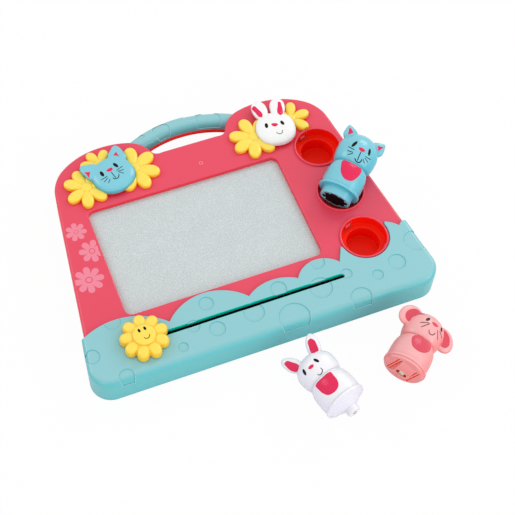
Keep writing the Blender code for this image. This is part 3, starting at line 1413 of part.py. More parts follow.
def stamper_cat():
    """Cat stamper: the sleeve at its base holds a flower-shaped magnet."""
    root = stand("cat_stamper", CAT_PLACE, CAT_HEADING_DEG, CAT_LEAN_DEG, CAT_TURN_DEG)
    ears = [leaf_ear(side, CAT_EAR_FOOT, CAT_EAR_TIP, CAT_EAR_HALF, CAT_EAR_TAPER_SHARE) for side in (-1, 1)]
    stamper_head("cat_head", SKY_BLUE, root, CAT_HEAD, ears)
    stamper_body("cat_body", SKY_BLUE, root)
    face = -SLEEVE_LENGTH
    profile = [(SLEEVE_RADIUS, face), (SLEEVE_RADIUS, 0.0)] + ring_profile() + collar_profile()
    base = link("cat_base", turned_solid(bmesh.new(), profile, STAMPER_STEPS), SKY_BLUE, root)
    pocket = bmesh.new()
    inner = SLEEVE_RADIUS - SLEEVE_WALL
    turned_solid(pocket, ((inner, face + STAMP_FACE), (inner, BASE_PLATE + OVERRUN)), STAMPER_STEPS)
    combine(base, guide("cat_base_pocket", pocket, root))
    window = bmesh.new()
    form = (STAMP_PINCH_SHARE, STAMP_PETALS, STAMP_FIRST_PETAL_DEG)
    rings = flower_rings(STAMP_REACH, *form, face - OVERRUN, face + STAMP_FACE + JOIN, 0.0)
    skin(window, rings[:1] + rings[-1:])
    in_triangles(combine(base, guide("cat_stamp_window", window, root)))
    magnet = bmesh.new()
    raised = flower_rings(STAMP_REACH - 2.0 * GAP, *form, face + GAP, face + STAMP_MAGNET_THICKNESS, 0.0)
    skin(magnet, raised[:1] + raised[-1:])
    link("cat_stamp_magnet", magnet, MAGNET_BLACK, root)


def rabbit_pen():
    """Rabbit pen: a cone at its base ends in a boss with a magnetic tip."""
    root = stand("rabbit_pen", RABBIT_PLACE, RABBIT_HEADING_DEG, RABBIT_LEAN_DEG, RABBIT_TURN_DEG)
    form = (RABBIT_EAR_FOOT, RABBIT_EAR_TIP, RABBIT_EAR_HALF, RABBIT_EAR_TAPER_SHARE)
    ears = [leaf_ear(side, *form) for side in (-1, 1)]
    stamper_head("rabbit_head", WHITE, root, RABBIT_HEAD, ears)
    stamper_body("rabbit_body", WHITE, root)
    end = -CONE_LENGTH - BOSS_LENGTH
    profile = [
        (BOSS_RADIUS - BOSS_ROUND, end),
        (BOSS_RADIUS, end + BOSS_ROUND),
        (BOSS_RADIUS, -CONE_LENGTH),
        (CONE_TOP_RADIUS, 0.0),
    ]
    profile += ring_profile() + collar_profile()
    base = link("rabbit_base", turned_solid(bmesh.new(), profile, STAMPER_STEPS), WHITE, root)
    cuts = bmesh.new()
    turned_solid(
        cuts,
        (
            (TIP_RADIUS + GAP, end - OVERRUN),
            (TIP_RADIUS + GAP, -CONE_LENGTH + BASE_PLATE),
            (BOSS_RADIUS - BASE_PLATE, -CONE_LENGTH + BASE_PLATE),
            (CAVITY_RADIUS, BASE_PLATE),
            (CAVITY_RADIUS, BASE_PLATE + OVERRUN),
        ),
        STAMPER_STEPS,
    )
    combine(base, guide("rabbit_base_inside", cuts, root))
    vents = bmesh.new()
    for side in (-1, 1):
        vent = ((VENT_RADIUS, -OVERRUN), (VENT_RADIUS, RING_HEIGHT / 2.0))
        turned_solid(vents, vent, VENT_SIDES, (side * VENT_PLACE, 0.0))
    in_triangles(combine(base, guide("rabbit_vents", vents, root)))
    tip = bmesh.new()
    turned_solid(
        tip,
        (
            (TIP_RADIUS * TIP_POINT_SHARE, end - TIP_REACH),
            (TIP_RADIUS * TIP_SHOULDER_SHARE, end - TIP_REACH * TIP_DOME_SHARE),
            (TIP_RADIUS, end),
            (TIP_RADIUS, end + TIP_DEPTH),
        ),
        STAMPER_STEPS,
    )
    link("rabbit_tip", tip, TIP_METAL, root)


def mouse_hump_radius():
    """Radius of the vault over the roller."""
    return (HUMP_CHORD**2 + HUMP_RISE**2) / (2.0 * HUMP_RISE)


def lying_cylinder(bm, radius, half_length, place, steps=20, first=0.0):
    """A cylinder along X about a place given as (y, z)."""
    y0, z0 = place
    rings = []
    for x in (-half_length, half_length):
        rings.append([(x, y0 + py, z0 + pz) for py, pz in circle_points(0.0, 0.0, radius, steps, first)])
    return skin(bm, rings)


def mouse_roller():
    """Mouse roller: a small magnet roller looks out of the vaulted base between two rails."""
    root = stand("mouse_roller", MOUSE_PLACE, MOUSE_HEADING_DEG, MOUSE_LEAN_DEG, MOUSE_TURN_DEG)
    stamper_head("mouse_head", PALE_PINK, root, MOUSE_HEAD, [round_ear(side) for side in (-1, 1)])
    stamper_body("mouse_body", PALE_PINK, root)
    face = -MOUSE_PLATE_DROP
    profile = [
        (MOUSE_PLATE_RADIUS - MOUSE_PLATE_ROUND, face),
        (MOUSE_PLATE_RADIUS, face + MOUSE_PLATE_ROUND),
        (MOUSE_PLATE_RADIUS, 0.0),
    ]
    profile += ring_profile() + collar_profile()
    base = link("mouse_base", turned_solid(bmesh.new(), profile, STAMPER_STEPS), PALE_PINK, root)
    radius = mouse_hump_radius()
    crest = face - HUMP_RISE
    vault = bmesh.new()
    lying_cylinder(vault, radius, HUMP_HALF_LENGTH, (0.0, crest + radius), VAULT_STEPS)
    clip = bmesh.new()
    box(clip, 0.0, 0.0, RING_RADIUS, RING_RADIUS, face + JOIN, crest + 2.0 * radius + OVERRUN)
    vault_guide = combine(guide("mouse_vault", vault, root), guide("mouse_vault_clip", clip, root))
    combine(base, vault_guide, "UNION")
    axle_level = crest + ROLLER_RADIUS - ROLLER_PROUD
    pocket = bmesh.new()
    half_y = ROLLER_RADIUS + ROLLER_POCKET_CLEARANCE
    box(pocket, 0.0, 0.0, ROLLER_MOUTH_HALF_LENGTH, half_y, crest + VAULT_WALL, BASE_PLATE + OVERRUN)
    combine(base, guide("mouse_pocket", pocket, root))
    mouth = bmesh.new()
    outline = oval_points(0.0, 0.0, ROLLER_MOUTH_HALF_LENGTH, ROLLER_MOUTH_HALF_HEIGHT, 2.0, STAMPER_STEPS)
    prism(mouth, outline, crest - OVERRUN, crest + VAULT_WALL + JOIN)
    combine(base, guide("mouse_mouth", mouth, root))
    bearing = bmesh.new()
    bed = AXLE_RADIUS + GAP
    sides = [(bed, BASE_PLATE + OVERRUN), (-bed, BASE_PLATE + OVERRUN)]
    for k in range(SCREW_SIDES + 1):
        a = math.pi * (1.0 + k / SCREW_SIDES)
        sides.append((bed * math.cos(a), axle_level + bed * math.sin(a)))
    reach = AXLE_LENGTH / 2.0 + GAP
    skin(bearing, [[(x, py, pz) for py, pz in sides] for x in (-reach, reach)])
    combine(base, guide("mouse_axle_bed", bearing, root))
    slits = bmesh.new()
    for side in (-1, 1):
        for off in (-1, 1):
            x = side * RAIL_PLACE + off * (RAIL_WIDTH + SLIT_WIDTH) / 2.0
            box(slits, x, 0.0, SLIT_WIDTH / 2.0, SLIT_LENGTH / 2.0, face - OVERRUN, BASE_PLATE + OVERRUN)
    combine(base, guide("mouse_slits", slits, root))
    in_triangles(base)
    axle = lying_cylinder(bmesh.new(), AXLE_RADIUS, AXLE_LENGTH / 2.0, (0.0, axle_level), STAMPER_STEPS)
    link("mouse_axle", axle, STEEL, root)
    spin = bpy.data.objects.new("mouse_roller_axis", None)
    bpy.context.scene.collection.objects.link(spin)
    spin.parent = root
    spin.location = (0.0, 0.0, axle_level)
    roller = bmesh.new()
    bore_radius = AXLE_RADIUS + GAP
    rings = []
    half = ROLLER_LENGTH / 2.0
    for r, x in ((bore_radius, -half), (ROLLER_RADIUS, -half), (ROLLER_RADIUS, half), (bore_radius, half)):
        rings.append([(x, py, pz) for py, pz in circle_points(0.0, 0.0, r, STAMPER_STEPS)])
    link("mouse_magnet_roller", skin(roller, rings, closed=True), TIP_METAL, spin)


def main():
    """Builds every piece in its place."""
    clear_scene()
    front_frame()
    lower_skirt()
    handle_cover()
    back_cover()
    for name, y in zip(("stamper_cup_back", "stamper_cup_middle", "stamper_cup_front"), cup_rows()):
        stamper_cup(name, y)
    screen()
    slide = bpy.data.objects.new("eraser_slide", None)
    bpy.context.scene.collection.objects.link(slide)
    slide.location = (KNOB_X, 0.0, 0.0)
    eraser(slide)
    badges()
    screws()
    stamper_cat()
    rabbit_pen()
    mouse_roller()


main()
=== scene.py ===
"""Looks of a child's magnetic drawing board with its eraser slide and three stamper animals.

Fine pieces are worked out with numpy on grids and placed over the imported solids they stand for. Lengths are
in metres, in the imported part's own frame: +X to the right, +Y away from the viewer, +Z up.
"""

import logging
import math
from dataclasses import dataclass, field
from enum import Enum
from typing import Any, Callable, ClassVar, Sequence

import bmesh
import bpy
import numpy as np
from mathutils import Matrix

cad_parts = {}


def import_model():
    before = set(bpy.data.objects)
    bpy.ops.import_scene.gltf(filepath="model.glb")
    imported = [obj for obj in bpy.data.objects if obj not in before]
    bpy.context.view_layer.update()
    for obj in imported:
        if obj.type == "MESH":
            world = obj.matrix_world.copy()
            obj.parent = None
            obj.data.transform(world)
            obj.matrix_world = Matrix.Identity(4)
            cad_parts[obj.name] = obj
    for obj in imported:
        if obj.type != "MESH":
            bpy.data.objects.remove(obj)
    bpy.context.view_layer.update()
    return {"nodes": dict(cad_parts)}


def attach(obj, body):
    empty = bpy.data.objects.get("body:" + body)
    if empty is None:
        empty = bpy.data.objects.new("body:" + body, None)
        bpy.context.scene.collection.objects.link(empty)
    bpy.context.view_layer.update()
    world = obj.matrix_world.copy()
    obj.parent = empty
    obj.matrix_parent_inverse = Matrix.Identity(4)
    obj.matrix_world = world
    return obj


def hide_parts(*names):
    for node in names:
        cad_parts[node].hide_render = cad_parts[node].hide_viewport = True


LOG = logging.getLogger("drawing_board")
Rows = np.ndarray
Colour = tuple[float, float, float]

GAP = 0.0003
BOARD_TOP = 0.030
PARTING = 0.017
HALF_WIDTH = 0.159
SKIRT_TOP = BOARD_TOP + GAP + 0.0018
CUP_X = 0.1215
CUP_ROWS = (0.0577, -0.0005, -0.0587)
# How far a tool runs past the face that it cuts
OVER = 0.004
# Radius at which a turned shape closes
AXIS = 1e-5


class Carving(Enum):
    """How a tool changes the piece it is used on."""

    CUT = "DIFFERENCE"
    JOIN = "UNION"


# Shader nodes


class Signal:
    """A socket of a material's nodes with the usual arithmetic."""

    def __init__(self, graph: "Graph", socket: bpy.types.NodeSocket) -> None:
        """Wraps an output socket of a material."""
        self.graph = graph
        self.socket = socket

    def _join(self, operation: str, left: Any, right: Any) -> "Signal":
        """One Math node on two numbers or sockets."""
        return self.graph.node("ShaderNodeMath", {"operation": operation}, {0: left, 1: right})

    def __add__(self, other: Any) -> "Signal":
        """Sum."""
        return self._join("ADD", self, other)

    __radd__ = __add__

    def __mul__(self, other: Any) -> "Signal":
        """Product."""
        return self._join("MULTIPLY", self, other)

    __rmul__ = __mul__

    def __sub__(self, other: Any) -> "Signal":
        """Difference."""
        return self._join("SUBTRACT", self, other)

    def __rsub__(self, other: Any) -> "Signal":
        """Difference from a number."""
        return self._join("SUBTRACT", other, self)

    def ramp(self, low: float, high: float) -> "Signal":
        """Smooth step from nought at low to one at high."""
        settings = {"interpolation_type": "SMOOTHSTEP"}
        return self.graph.node("ShaderNodeMapRange", settings, {0: self, 1: low, 2: high, 3: 0.0, 4: 1.0})


class Graph:
    """A node material with one Principled shader."""

    def __init__(self, name: str) -> None:
        """Starts the material under a name."""
        self.material = bpy.data.materials.new(name)
        self.material.use_nodes = True
        self.tree = self.material.node_tree
        self.shader = self.tree.nodes["Principled BSDF"]

    def node(self, kind: str, settings: dict[str, Any], inputs: dict[Any, Any], output: Any = 0) -> Signal:
        """Adds any node.

        Args:
            kind: The node's type.
            settings: Its own properties.
            inputs: Socket names or places with numbers, vectors or signals.
            output: Name or place of the output that is wanted.

        Returns:
            The output as a signal.
        """
        made = self.tree.nodes.new(kind)
        for key, value in settings.items():
            setattr(made, key, value)
        for key, value in inputs.items():
            self.feed(made.inputs[key], value)
        return Signal(self, made.outputs[output])

    def feed(self, socket: bpy.types.NodeSocket, value: Any) -> None:
        """Links a signal to a socket, or sets a number on it."""
        if isinstance(value, Signal):
            self.tree.links.new(value.socket, socket)
        else:
            socket.default_value = value

    def place(self) -> Signal:
        """Object coordinates."""
        return self.node("ShaderNodeTexCoord", {}, {}, "Object")

    def noise(self, scale: float, detail: float = 2.0, roughness: float = 0.5) -> Signal:
        """Noise on object coordinates, with its size given per metre."""
        inputs = {"Vector": self.place(), "Scale": scale, "Detail": detail, "Roughness": roughness}
        return self.node("ShaderNodeTexNoise", {}, inputs)

    def upwards(self) -> Signal:
        """Height part of the surface's normal."""
        normal = self.node("ShaderNodeNewGeometry", {}, {}, "Normal")
        return self.node("ShaderNodeSeparateXYZ", {}, {0: normal}, 2)

    def openness(self, distance: float, inside: bool = False) -> Signal:
        """Share of the directions that are free within a distance, outside the surface or inside it."""
        return self.node("ShaderNodeAmbientOcclusion", {"samples": 6, "inside": inside}, {"Distance": distance}, "AO")

    def blend(self, factor: Signal, low: Colour | Signal, high: Colour | Signal) -> Signal:
        """Mix of two colours."""
        ends = [end if isinstance(end, Signal) else (*end, 1.0) for end in (low, high)]
        return self.node("ShaderNodeMix", {"data_type": "RGBA"}, {0: factor, 6: ends[0], 7: ends[1]}, 2)

    def bump(self, height: Signal, strength: float, distance: float) -> Signal:
        """Surface relief of a height signal."""
        inputs = {"Strength": strength, "Distance": distance, "Height": height}
        return self.node("ShaderNodeBump", {}, inputs, "Normal")

    def finish(self, **sockets: Any) -> bpy.types.Material:
        """Feeds the shader's sockets, named with underscores for spaces, and returns the material."""
        for key, value in sockets.items():
            self.feed(self.shader.inputs[key.replace("_", " ")], value)
        return self.material


@dataclass(frozen=True)
class Plastic:
    """Moulded plastic with a slow drift of its colour and a fine skin.

    The colour turns to its deep colour as painted shade on steep sides and within the crease distance of an inner
    corner, and paler as a painted highlight within the rim distance of an outer edge. Lengths are in metres.
    """

    name: str
    colour: Colour
    # Colour of the painted shade on steep sides and in creases
    deep: Colour
    roughness: float
    peel: float
    glow: float = 0.0
    coat: float = 0.0
    shine: float = 0.4
    # Reach of the painted shade from an inner corner
    crease_shade: float = 0.006
    # Reach of the painted highlight along an outer edge
    rim: float = 0.0006
    # How far the painted highlight on outer edges turns the colour pale
    edge: float = 0.30
    # Upward share of the normal below which a side is wholly in painted shade
    side_shade_from: float = 0.30

    def make(self) -> bpy.types.Material:
        """Builds the material."""
        graph = Graph(self.name)
        drift, skin, wide = graph.noise(16.0, 3.0), graph.noise(1100.0), graph.noise(150.0)
        # Painted shade in creases from how open the surface is, painted highlight on outer edges from how thin it is
        # inside
        closed, inner = graph.openness(self.crease_shade), graph.openness(self.rim, True)
        light_share = graph.upwards().ramp(self.side_shade_from, 1.0) * closed.ramp(0.35, 0.95) + (drift - 0.5) * 0.14
        pale = tuple(part + (1.0 - part) * self.edge for part in self.colour)
        return graph.finish(
            Base_Color=graph.blend(inner.ramp(0.50, 0.88), pale, graph.blend(light_share, self.deep, self.colour)),
            Roughness=(skin - 0.5) * 0.10 + (wide - 0.5) * 0.08 + self.roughness,
            Normal=graph.bump(skin * 0.4 + wide * 0.6, self.peel, 0.0002),
            Subsurface_Weight=self.glow, Subsurface_Radius=(0.004, 0.002, 0.002),
            Coat_Weight=self.coat, Coat_Roughness=0.14, Specular_IOR_Level=self.shine,
        )


@dataclass(frozen=True)
class Ink:
    """Printed ink: nearly one colour, with the faint mottle of a pad print."""

    name: str
    colour: Colour
    worn: Colour
    roughness: float
    shine: float = 0.25

    def make(self) -> bpy.types.Material:
        """Builds the material."""
        graph = Graph(self.name)
        mottle = graph.noise(900.0, 3.0, 0.6)
        return graph.finish(
            Base_Color=graph.blend(mottle.ramp(0.45, 0.85), self.colour, self.worn),
            Roughness=(mottle - 0.5) * 0.12 + self.roughness, Normal=graph.bump(mottle, 0.08, 0.0001),
            Specular_IOR_Level=self.shine, Coat_Weight=0.18, Coat_Roughness=0.14,
        )


@dataclass(frozen=True)
class Film:
    """Drawing film over the cell layer: pale grey with a fine grain of powder and faint cells."""

    name: str
    dark: Colour = (0.450, 0.515, 0.520)
    light: Colour = (0.715, 0.765, 0.770)

    def make(self) -> bpy.types.Material:
        """Builds the material."""
        graph = Graph(self.name)
        grain, cloud = graph.noise(1300.0, 3.0, 0.80), graph.noise(45.0)
        cells = graph.node("ShaderNodeTexVoronoi", {"feature": "F1"}, {"Vector": graph.place(), "Scale": 900.0})
        mixed = grain * 0.90 + cells * 0.16 + (cloud - 0.5) * 0.05
        return graph.finish(
            Base_Color=graph.blend(mixed.ramp(0.39, 0.70), self.dark, self.light), Roughness=grain * 0.14 + 0.30,
            Normal=graph.bump(grain, 0.12, 0.0001), Coat_Weight=0.12, Coat_Roughness=0.25,
        )


@dataclass(frozen=True)
class Metal:
    """Plated metal with fine turning marks."""

    name: str
    colour: Colour
    dull: Colour
    roughness: float = 0.30

    def make(self) -> bpy.types.Material:
        """Builds the material."""
        graph = Graph(self.name)
        marks, stain = graph.noise(2600.0, 3.0, 0.6), graph.noise(500.0)
        return graph.finish(
            Base_Color=graph.blend(stain.ramp(0.35, 0.75), self.dull, self.colour),
            Roughness=(marks - 0.5) * 0.2 + self.roughness, Normal=graph.bump(marks, 0.12, 0.0001), Metallic=1.0,
        )


class Paint(Enum):
    """Every finish of the board and the stampers."""

    # Each plastic's second colour is the painted shade that it turns to on steep sides and in creases
    PINK_RED = Plastic("pink_red_plastic", (0.795, 0.063, 0.116), (0.830, 0.014, 0.040), 0.36, 0.03, coat=0.30,
                       shine=0.35)
    # Painted light: the handle's bar, of the tray's plastic, is painted a fuller, brighter red for light shining
    # through and bouncing in it
    BAR_RED = Plastic("bar_lit_red_plastic", (0.950, 0.030, 0.020), (0.950, 0.014, 0.005), 0.30, 0.04, coat=0.10, shine=0.2)
    # Painted light: the cups' insides are painted a deeper, fuller red than their pink rims, for light bouncing inside
    # the red cups
    CUP_RED = Plastic("cup_bounce_red_plastic", (0.940, 0.020, 0.006), (0.940, 0.008, 0.001), 0.30, 0.06, coat=0.06,
                      shine=0.08, crease_shade=0.003)
    TEAL = Plastic("teal_plastic", (0.272, 0.580, 0.625), (0.120, 0.525, 0.560), 0.32, 0.04, coat=0.40, shine=0.35,
                   crease_shade=0.002, edge=0.34, side_shade_from=0.60)
    YELLOW = Plastic("yellow_plastic", (0.985, 0.745, 0.095), (0.985, 0.580, 0.018), 0.28, 0.05, glow=0.05, coat=0.40,
                     shine=0.35, crease_shade=0.003, edge=0.12)
    SKY_BLUE = Plastic("sky_blue_plastic", (0.205, 0.590, 0.700), (0.080, 0.490, 0.620), 0.26, 0.02, coat=0.40)
    WHITE = Plastic("white_plastic", (0.900, 0.895, 0.930), (0.800, 0.785, 0.885), 0.26, 0.04, glow=0.05, coat=0.25,
                    crease_shade=0.004)
    BADGE_WHITE = Plastic("badge_white_plastic", (0.920, 0.920, 0.915), (0.830, 0.840, 0.860), 0.28, 0.04, glow=0.05,
                          coat=0.15, crease_shade=0.004)
    PALE_PINK = Plastic("pale_pink_plastic", (0.920, 0.440, 0.445), (0.880, 0.260, 0.262), 0.28, 0.04, glow=0.05,
                        coat=0.25)
    # Painted shade in the cups' snap slits
    SLIT_RED = Ink("slit_shade_red", (0.420, 0.045, 0.004), (0.460, 0.056, 0.006), 0.5, 0.1)
    HOT_PINK = Ink("hot_pink_ink", (0.785, 0.016, 0.094), (0.810, 0.034, 0.118), 0.26, 0.24)
    ROSE = Ink("rose_ink", (0.730, 0.076, 0.118), (0.770, 0.098, 0.142), 0.26, 0.24)
    BLACK = Ink("black_ink", (0.004, 0.004, 0.005), (0.010, 0.010, 0.011), 0.36, 0.12)
    DARK_TEAL = Ink("dark_teal_ink", (0.008, 0.045, 0.055), (0.015, 0.070, 0.085), 0.4, 0.12)
    DARK_ROSE = Ink("dark_rose_ink", (0.130, 0.010, 0.014), (0.180, 0.020, 0.024), 0.4, 0.12)
    GREY = Ink("grey_ink", (0.030, 0.030, 0.032), (0.050, 0.050, 0.052), 0.4, 0.12)
    BROWN = Ink("brown_ink", (0.120, 0.045, 0.006), (0.170, 0.070, 0.012), 0.4, 0.12)
    PRINT_PINK = Ink("print_pink_ink", (0.860, 0.240, 0.330), (0.880, 0.290, 0.380), 0.42)
    # Painted glow: the mouse's slits and mouth are painted orange-red for light showing through its pink plastic
    EMBER = Ink("slit_glow_red", (0.960, 0.075, 0.020), (0.960, 0.100, 0.030), 0.45, 0.2)
    # Painted light: the skirt's slot wall is painted a fuller, brighter teal than the skirt, for light bouncing in the
    # slot
    DEEP_TEAL = Ink("slot_wall_bounce_teal", (0.004, 0.600, 0.500), (0.010, 0.660, 0.560), 0.5, 0.1)
    SHADOW = Ink("unlit_inside", (0.004, 0.004, 0.004), (0.008, 0.008, 0.008), 0.8, 0.0)
    MAGNET = Ink("magnet_black", (0.003, 0.003, 0.004), (0.006, 0.006, 0.007), 0.70, 0.05)
    FILM = Film("drawing_film")
    TIP = Metal("tip_metal", (0.640, 0.620, 0.500), (0.480, 0.500, 0.420))
    STEEL = Metal("screw_steel", (0.560, 0.570, 0.590), (0.440, 0.450, 0.470))

    def material(self) -> bpy.types.Material:
        """The finish's material, made the first time that it is asked for."""
        return bpy.data.materials.get(self.value.name) or self.value.make()


# Curves in the plane


def circle(radius: float, steps: int, x: float = 0.0, y: float = 0.0) -> Rows:
    """Points at equal angles round a centre, counterclockwise."""
    angles = np.arange(steps) * (math.tau / steps)
    return np.stack([x + radius * np.cos(angles), y + radius * np.sin(angles)], -1)


def superellipse(half_x: float, half_y: float, power: float, steps: int) -> Rows:
    """Points (hx |cos t|^(2/p), hy |sin t|^(2/p)) with the signs of the cosine and sine."""
    angles = np.arange(steps) * (math.tau / steps)
    c, s = np.cos(angles), np.sin(angles)
    x = half_x * np.sign(c) * np.abs(c) ** (2.0 / power)
    y = half_y * np.sign(s) * np.abs(s) ** (2.0 / power)
    return np.stack([x, y], -1)


def rounded_box(x: float, y: float, half_x: float, half_y: float, radius: float, steps: int) -> Rows:
    """A rectangle whose corners are quarter circles, counterclockwise."""
    angles = np.concatenate([np.linspace(0.0, math.pi / 2.0, steps + 1) + k * math.pi / 2.0 for k in range(4)])
    sx = np.repeat([1.0, -1.0, -1.0, 1.0], steps + 1)
    sy = np.repeat([1.0, 1.0, -1.0, -1.0], steps + 1)
    px = x + sx * (half_x - radius) + radius * np.cos(angles)
    py = y + sy * (half_y - radius) + radius * np.sin(angles)
    return np.stack([px, py], -1)


def arc(start: Sequence[float], middle: Sequence[float], end: Sequence[float], steps: int) -> Rows:
    """The circle through three points, sampled at equal angles from start to end.

    Args:
        start: First point.
        middle: A point on the way.
        end: Last point.
        steps: Number of intervals.

    Returns:
        The points, without the first.
    """
    (ax, ay), (bx, by), (cx, cy) = start, middle, end
    d = 2.0 * (ax * (by - cy) + bx * (cy - ay) + cx * (ay - by))
    a2, b2, c2 = ax * ax + ay * ay, bx * bx + by * by, cx * cx + cy * cy
    ux = (a2 * (by - cy) + b2 * (cy - ay) + c2 * (ay - by)) / d
    uy = (a2 * (cx - bx) + b2 * (ax - cx) + c2 * (bx - ax)) / d
    first = math.atan2(ay - uy, ax - ux)
    via = (math.atan2(by - uy, bx - ux) - first) % math.tau
    sweep = (math.atan2(cy - uy, cx - ux) - first) % math.tau
    sweep = sweep - math.tau if via > sweep else sweep
    angles = first + sweep * np.arange(1, steps + 1) / steps
    radius = math.hypot(ax - ux, ay - uy)
    return np.stack([ux + radius * np.cos(angles), uy + radius * np.sin(angles)], -1)


def spline(points: Rows, per: int, closed: bool = False) -> Rows:
    """Cubic Hermite curve through points, with chord-length tangents.

    A tangent is the mean of the two neighbouring slopes, each weighted by the other's chord.

    Args:
        points: The points, any dimension.
        per: Samples for each interval.
        closed: Whether the last point leads back to the first.

    Returns:
        The sampled curve. An open one keeps its last point.
    """
    p = np.asarray(points, float)
    ends = (p[-2:], p[:3]) if closed else (2 * p[:1] - p[1:2], 2 * p[-1:] - p[-2:-1])
    ring = np.concatenate([ends[0], p, ends[1]])
    chord = np.maximum(np.linalg.norm(np.diff(ring, axis=0), axis=1, keepdims=True), 1e-9)
    slope = np.diff(ring, axis=0) / chord
    tangent = (slope[:-1] * chord[1:] + slope[1:] * chord[:-1]) / (chord[1:] + chord[:-1])
    t = (np.arange(per) / per)[None, :, None]
    a, b, h = ring[1:-2, None], ring[2:-1, None], chord[1:-1, None]
    m, n = tangent[:-1, None], tangent[1:, None]
    h00, h10 = 2 * t**3 - 3 * t**2 + 1, t**3 - 2 * t**2 + t
    h01, h11 = 3 * t**2 - 2 * t**3, t**3 - t**2
    curve = h00 * a + h10 * h * m + h01 * b + h11 * h * n
    if closed:
        return curve[1 : 1 + len(p)].reshape(-1, p.shape[1])
    return np.concatenate([curve.reshape(-1, p.shape[1]), p[-1:]])


def mitres(points: Rows, longest: float = 1.7) -> Rows:
    """Outward vectors of a counterclockwise outline: the sum of both edges' normals over one plus their product.

    Args:
        points: The outline.
        longest: Greatest length of a vector at a sharp corner.

    Returns:
        One vector for each point.
    """
    before = points - np.roll(points, 1, axis=0)
    after = np.roll(points, -1, axis=0) - points
    before /= np.maximum(np.linalg.norm(before, axis=1, keepdims=True), 1e-12)
    after /= np.maximum(np.linalg.norm(after, axis=1, keepdims=True), 1e-12)
    n1 = np.stack([before[:, 1], -before[:, 0]], -1)
    n2 = np.stack([after[:, 1], -after[:, 0]], -1)
    joined = (n1 + n2) / np.maximum(1.0 + (n1 * n2).sum(1, keepdims=True), 0.1)
    size = np.linalg.norm(joined, axis=1, keepdims=True)
    return joined * np.minimum(1.0, longest / np.maximum(size, 1e-12))


def moved(points: Rows, distance: float) -> Rows:
    """The outline shifted outwards by a distance."""
    return points + mitres(points) * distance


def turned(points: Rows, degrees: float, x: float = 0.0, y: float = 0.0) -> Rows:
    """Plane points turned about the origin and then shifted."""
    a = math.radians(degrees)
    c, s = math.cos(a), math.sin(a)
    return points @ np.array(((c, s), (-s, c))) + np.array((x, y))


def at_height(points: Rows, z: Any) -> Rows:
    """Plane points given a height."""
    return np.concatenate([points, np.broadcast_to(np.asarray(z, float).reshape(-1, 1), (len(points), 1))], 1)


# Surfaces


def upright(outline: Rows, low: float, high: float) -> Rows:
    """Two rings of an upright wall."""
    return np.stack([at_height(outline, low), at_height(outline, high)])


def flared(outline: Rows, low: float, high: float, flare: float, steps: int = 6) -> Rows:
    """Rings of a tool that rounds the edge it leaves.

    The outline moves out by f(1 - cos a) at height high - f + f sin a.

    Args:
        outline: The opening, counterclockwise.
        low: Foot of the tool.
        high: Height of the face that it cuts.
        flare: Radius of the rounded edge.
        steps: Steps of the quarter circle.

    Returns:
        The rings from the foot upwards.
    """
    out = mitres(outline)
    angles = np.linspace(0.0, math.pi / 2.0, steps + 1)
    rings = [at_height(outline, low)]
    rings += [at_height(outline + out * flare * (1 - math.cos(a)), high - flare + flare * math.sin(a)) for a in angles]
    rings.append(at_height(outline + out * flare, high + OVER))
    return np.stack(rings)


def rim_rows(outline: Rows, low: float, high: float, side: float, front: float, steps: int) -> Rows:
    """Rings of a block with a rounded upper edge.

    Its radius grows from side to front with the square of how far the edge faces the viewer.
    """
    out = mitres(outline)
    facing = np.maximum(0.0, -out[:, 1] / np.linalg.norm(out, axis=1)) ** 2
    radius = side + (front - side) * facing
    rings = [at_height(outline, low)]
    for a in np.linspace(0.0, math.pi / 2.0, steps + 1):
        inward = (radius * (1.0 - math.cos(a)))[:, None]
        rings.append(at_height(outline - out * inward, high - radius + radius * math.sin(a)))
    return np.stack(rings)


def lathe(profile: Rows, steps: int) -> Rows:
    """Rings of a profile of (radius, height) pairs turned about Z: (r cos t, r sin t, h)."""
    profile = np.asarray(profile, float)
    angles = np.arange(steps) * (math.tau / steps)
    x = profile[:, :1] * np.cos(angles)
    y = profile[:, :1] * np.sin(angles)
    z = np.broadcast_to(profile[:, 1:], x.shape)
    return np.stack([x, y, z], -1)


def fillet(
    corner: Sequence[float], before: Sequence[float], after: Sequence[float], radius: float, steps: int
) -> Rows:
    """Round corner of a profile: an arc that touches the two edges that meet there."""
    p, a, b = (np.array(v, float) for v in (corner, before, after))
    u, v = (a - p) / np.linalg.norm(a - p), (b - p) / np.linalg.norm(b - p)
    half = math.acos(float(np.clip(u @ v, -1.0, 1.0))) / 2.0
    centre = p + (u + v) / np.linalg.norm(u + v) * radius / math.sin(half)
    first, last = p + u * radius / math.tan(half) - centre, p + v * radius / math.tan(half) - centre
    start = math.atan2(first[1], first[0])
    sweep = (math.atan2(last[1], last[0]) - start + math.pi) % math.tau - math.pi
    angles = start + sweep * np.arange(steps + 1) / steps
    return centre + radius * np.stack([np.cos(angles), np.sin(angles)], -1)


def softened(corners: Sequence[tuple[float, float, float]], steps: int = 4) -> Rows:
    """Open profile of (radius, height, rounding) corners, with an arc wherever the rounding isn't nought."""
    points = [np.array(corners[0][:2], float)[None]]
    for k in range(1, len(corners) - 1):
        r, z, rounding = corners[k]
        if rounding:
            points.append(fillet((r, z), corners[k - 1][:2], corners[k + 1][:2], rounding, steps))
        else:
            points.append(np.array(((r, z),)))
    points.append(np.array(corners[-1][:2], float)[None])
    return np.concatenate(points)


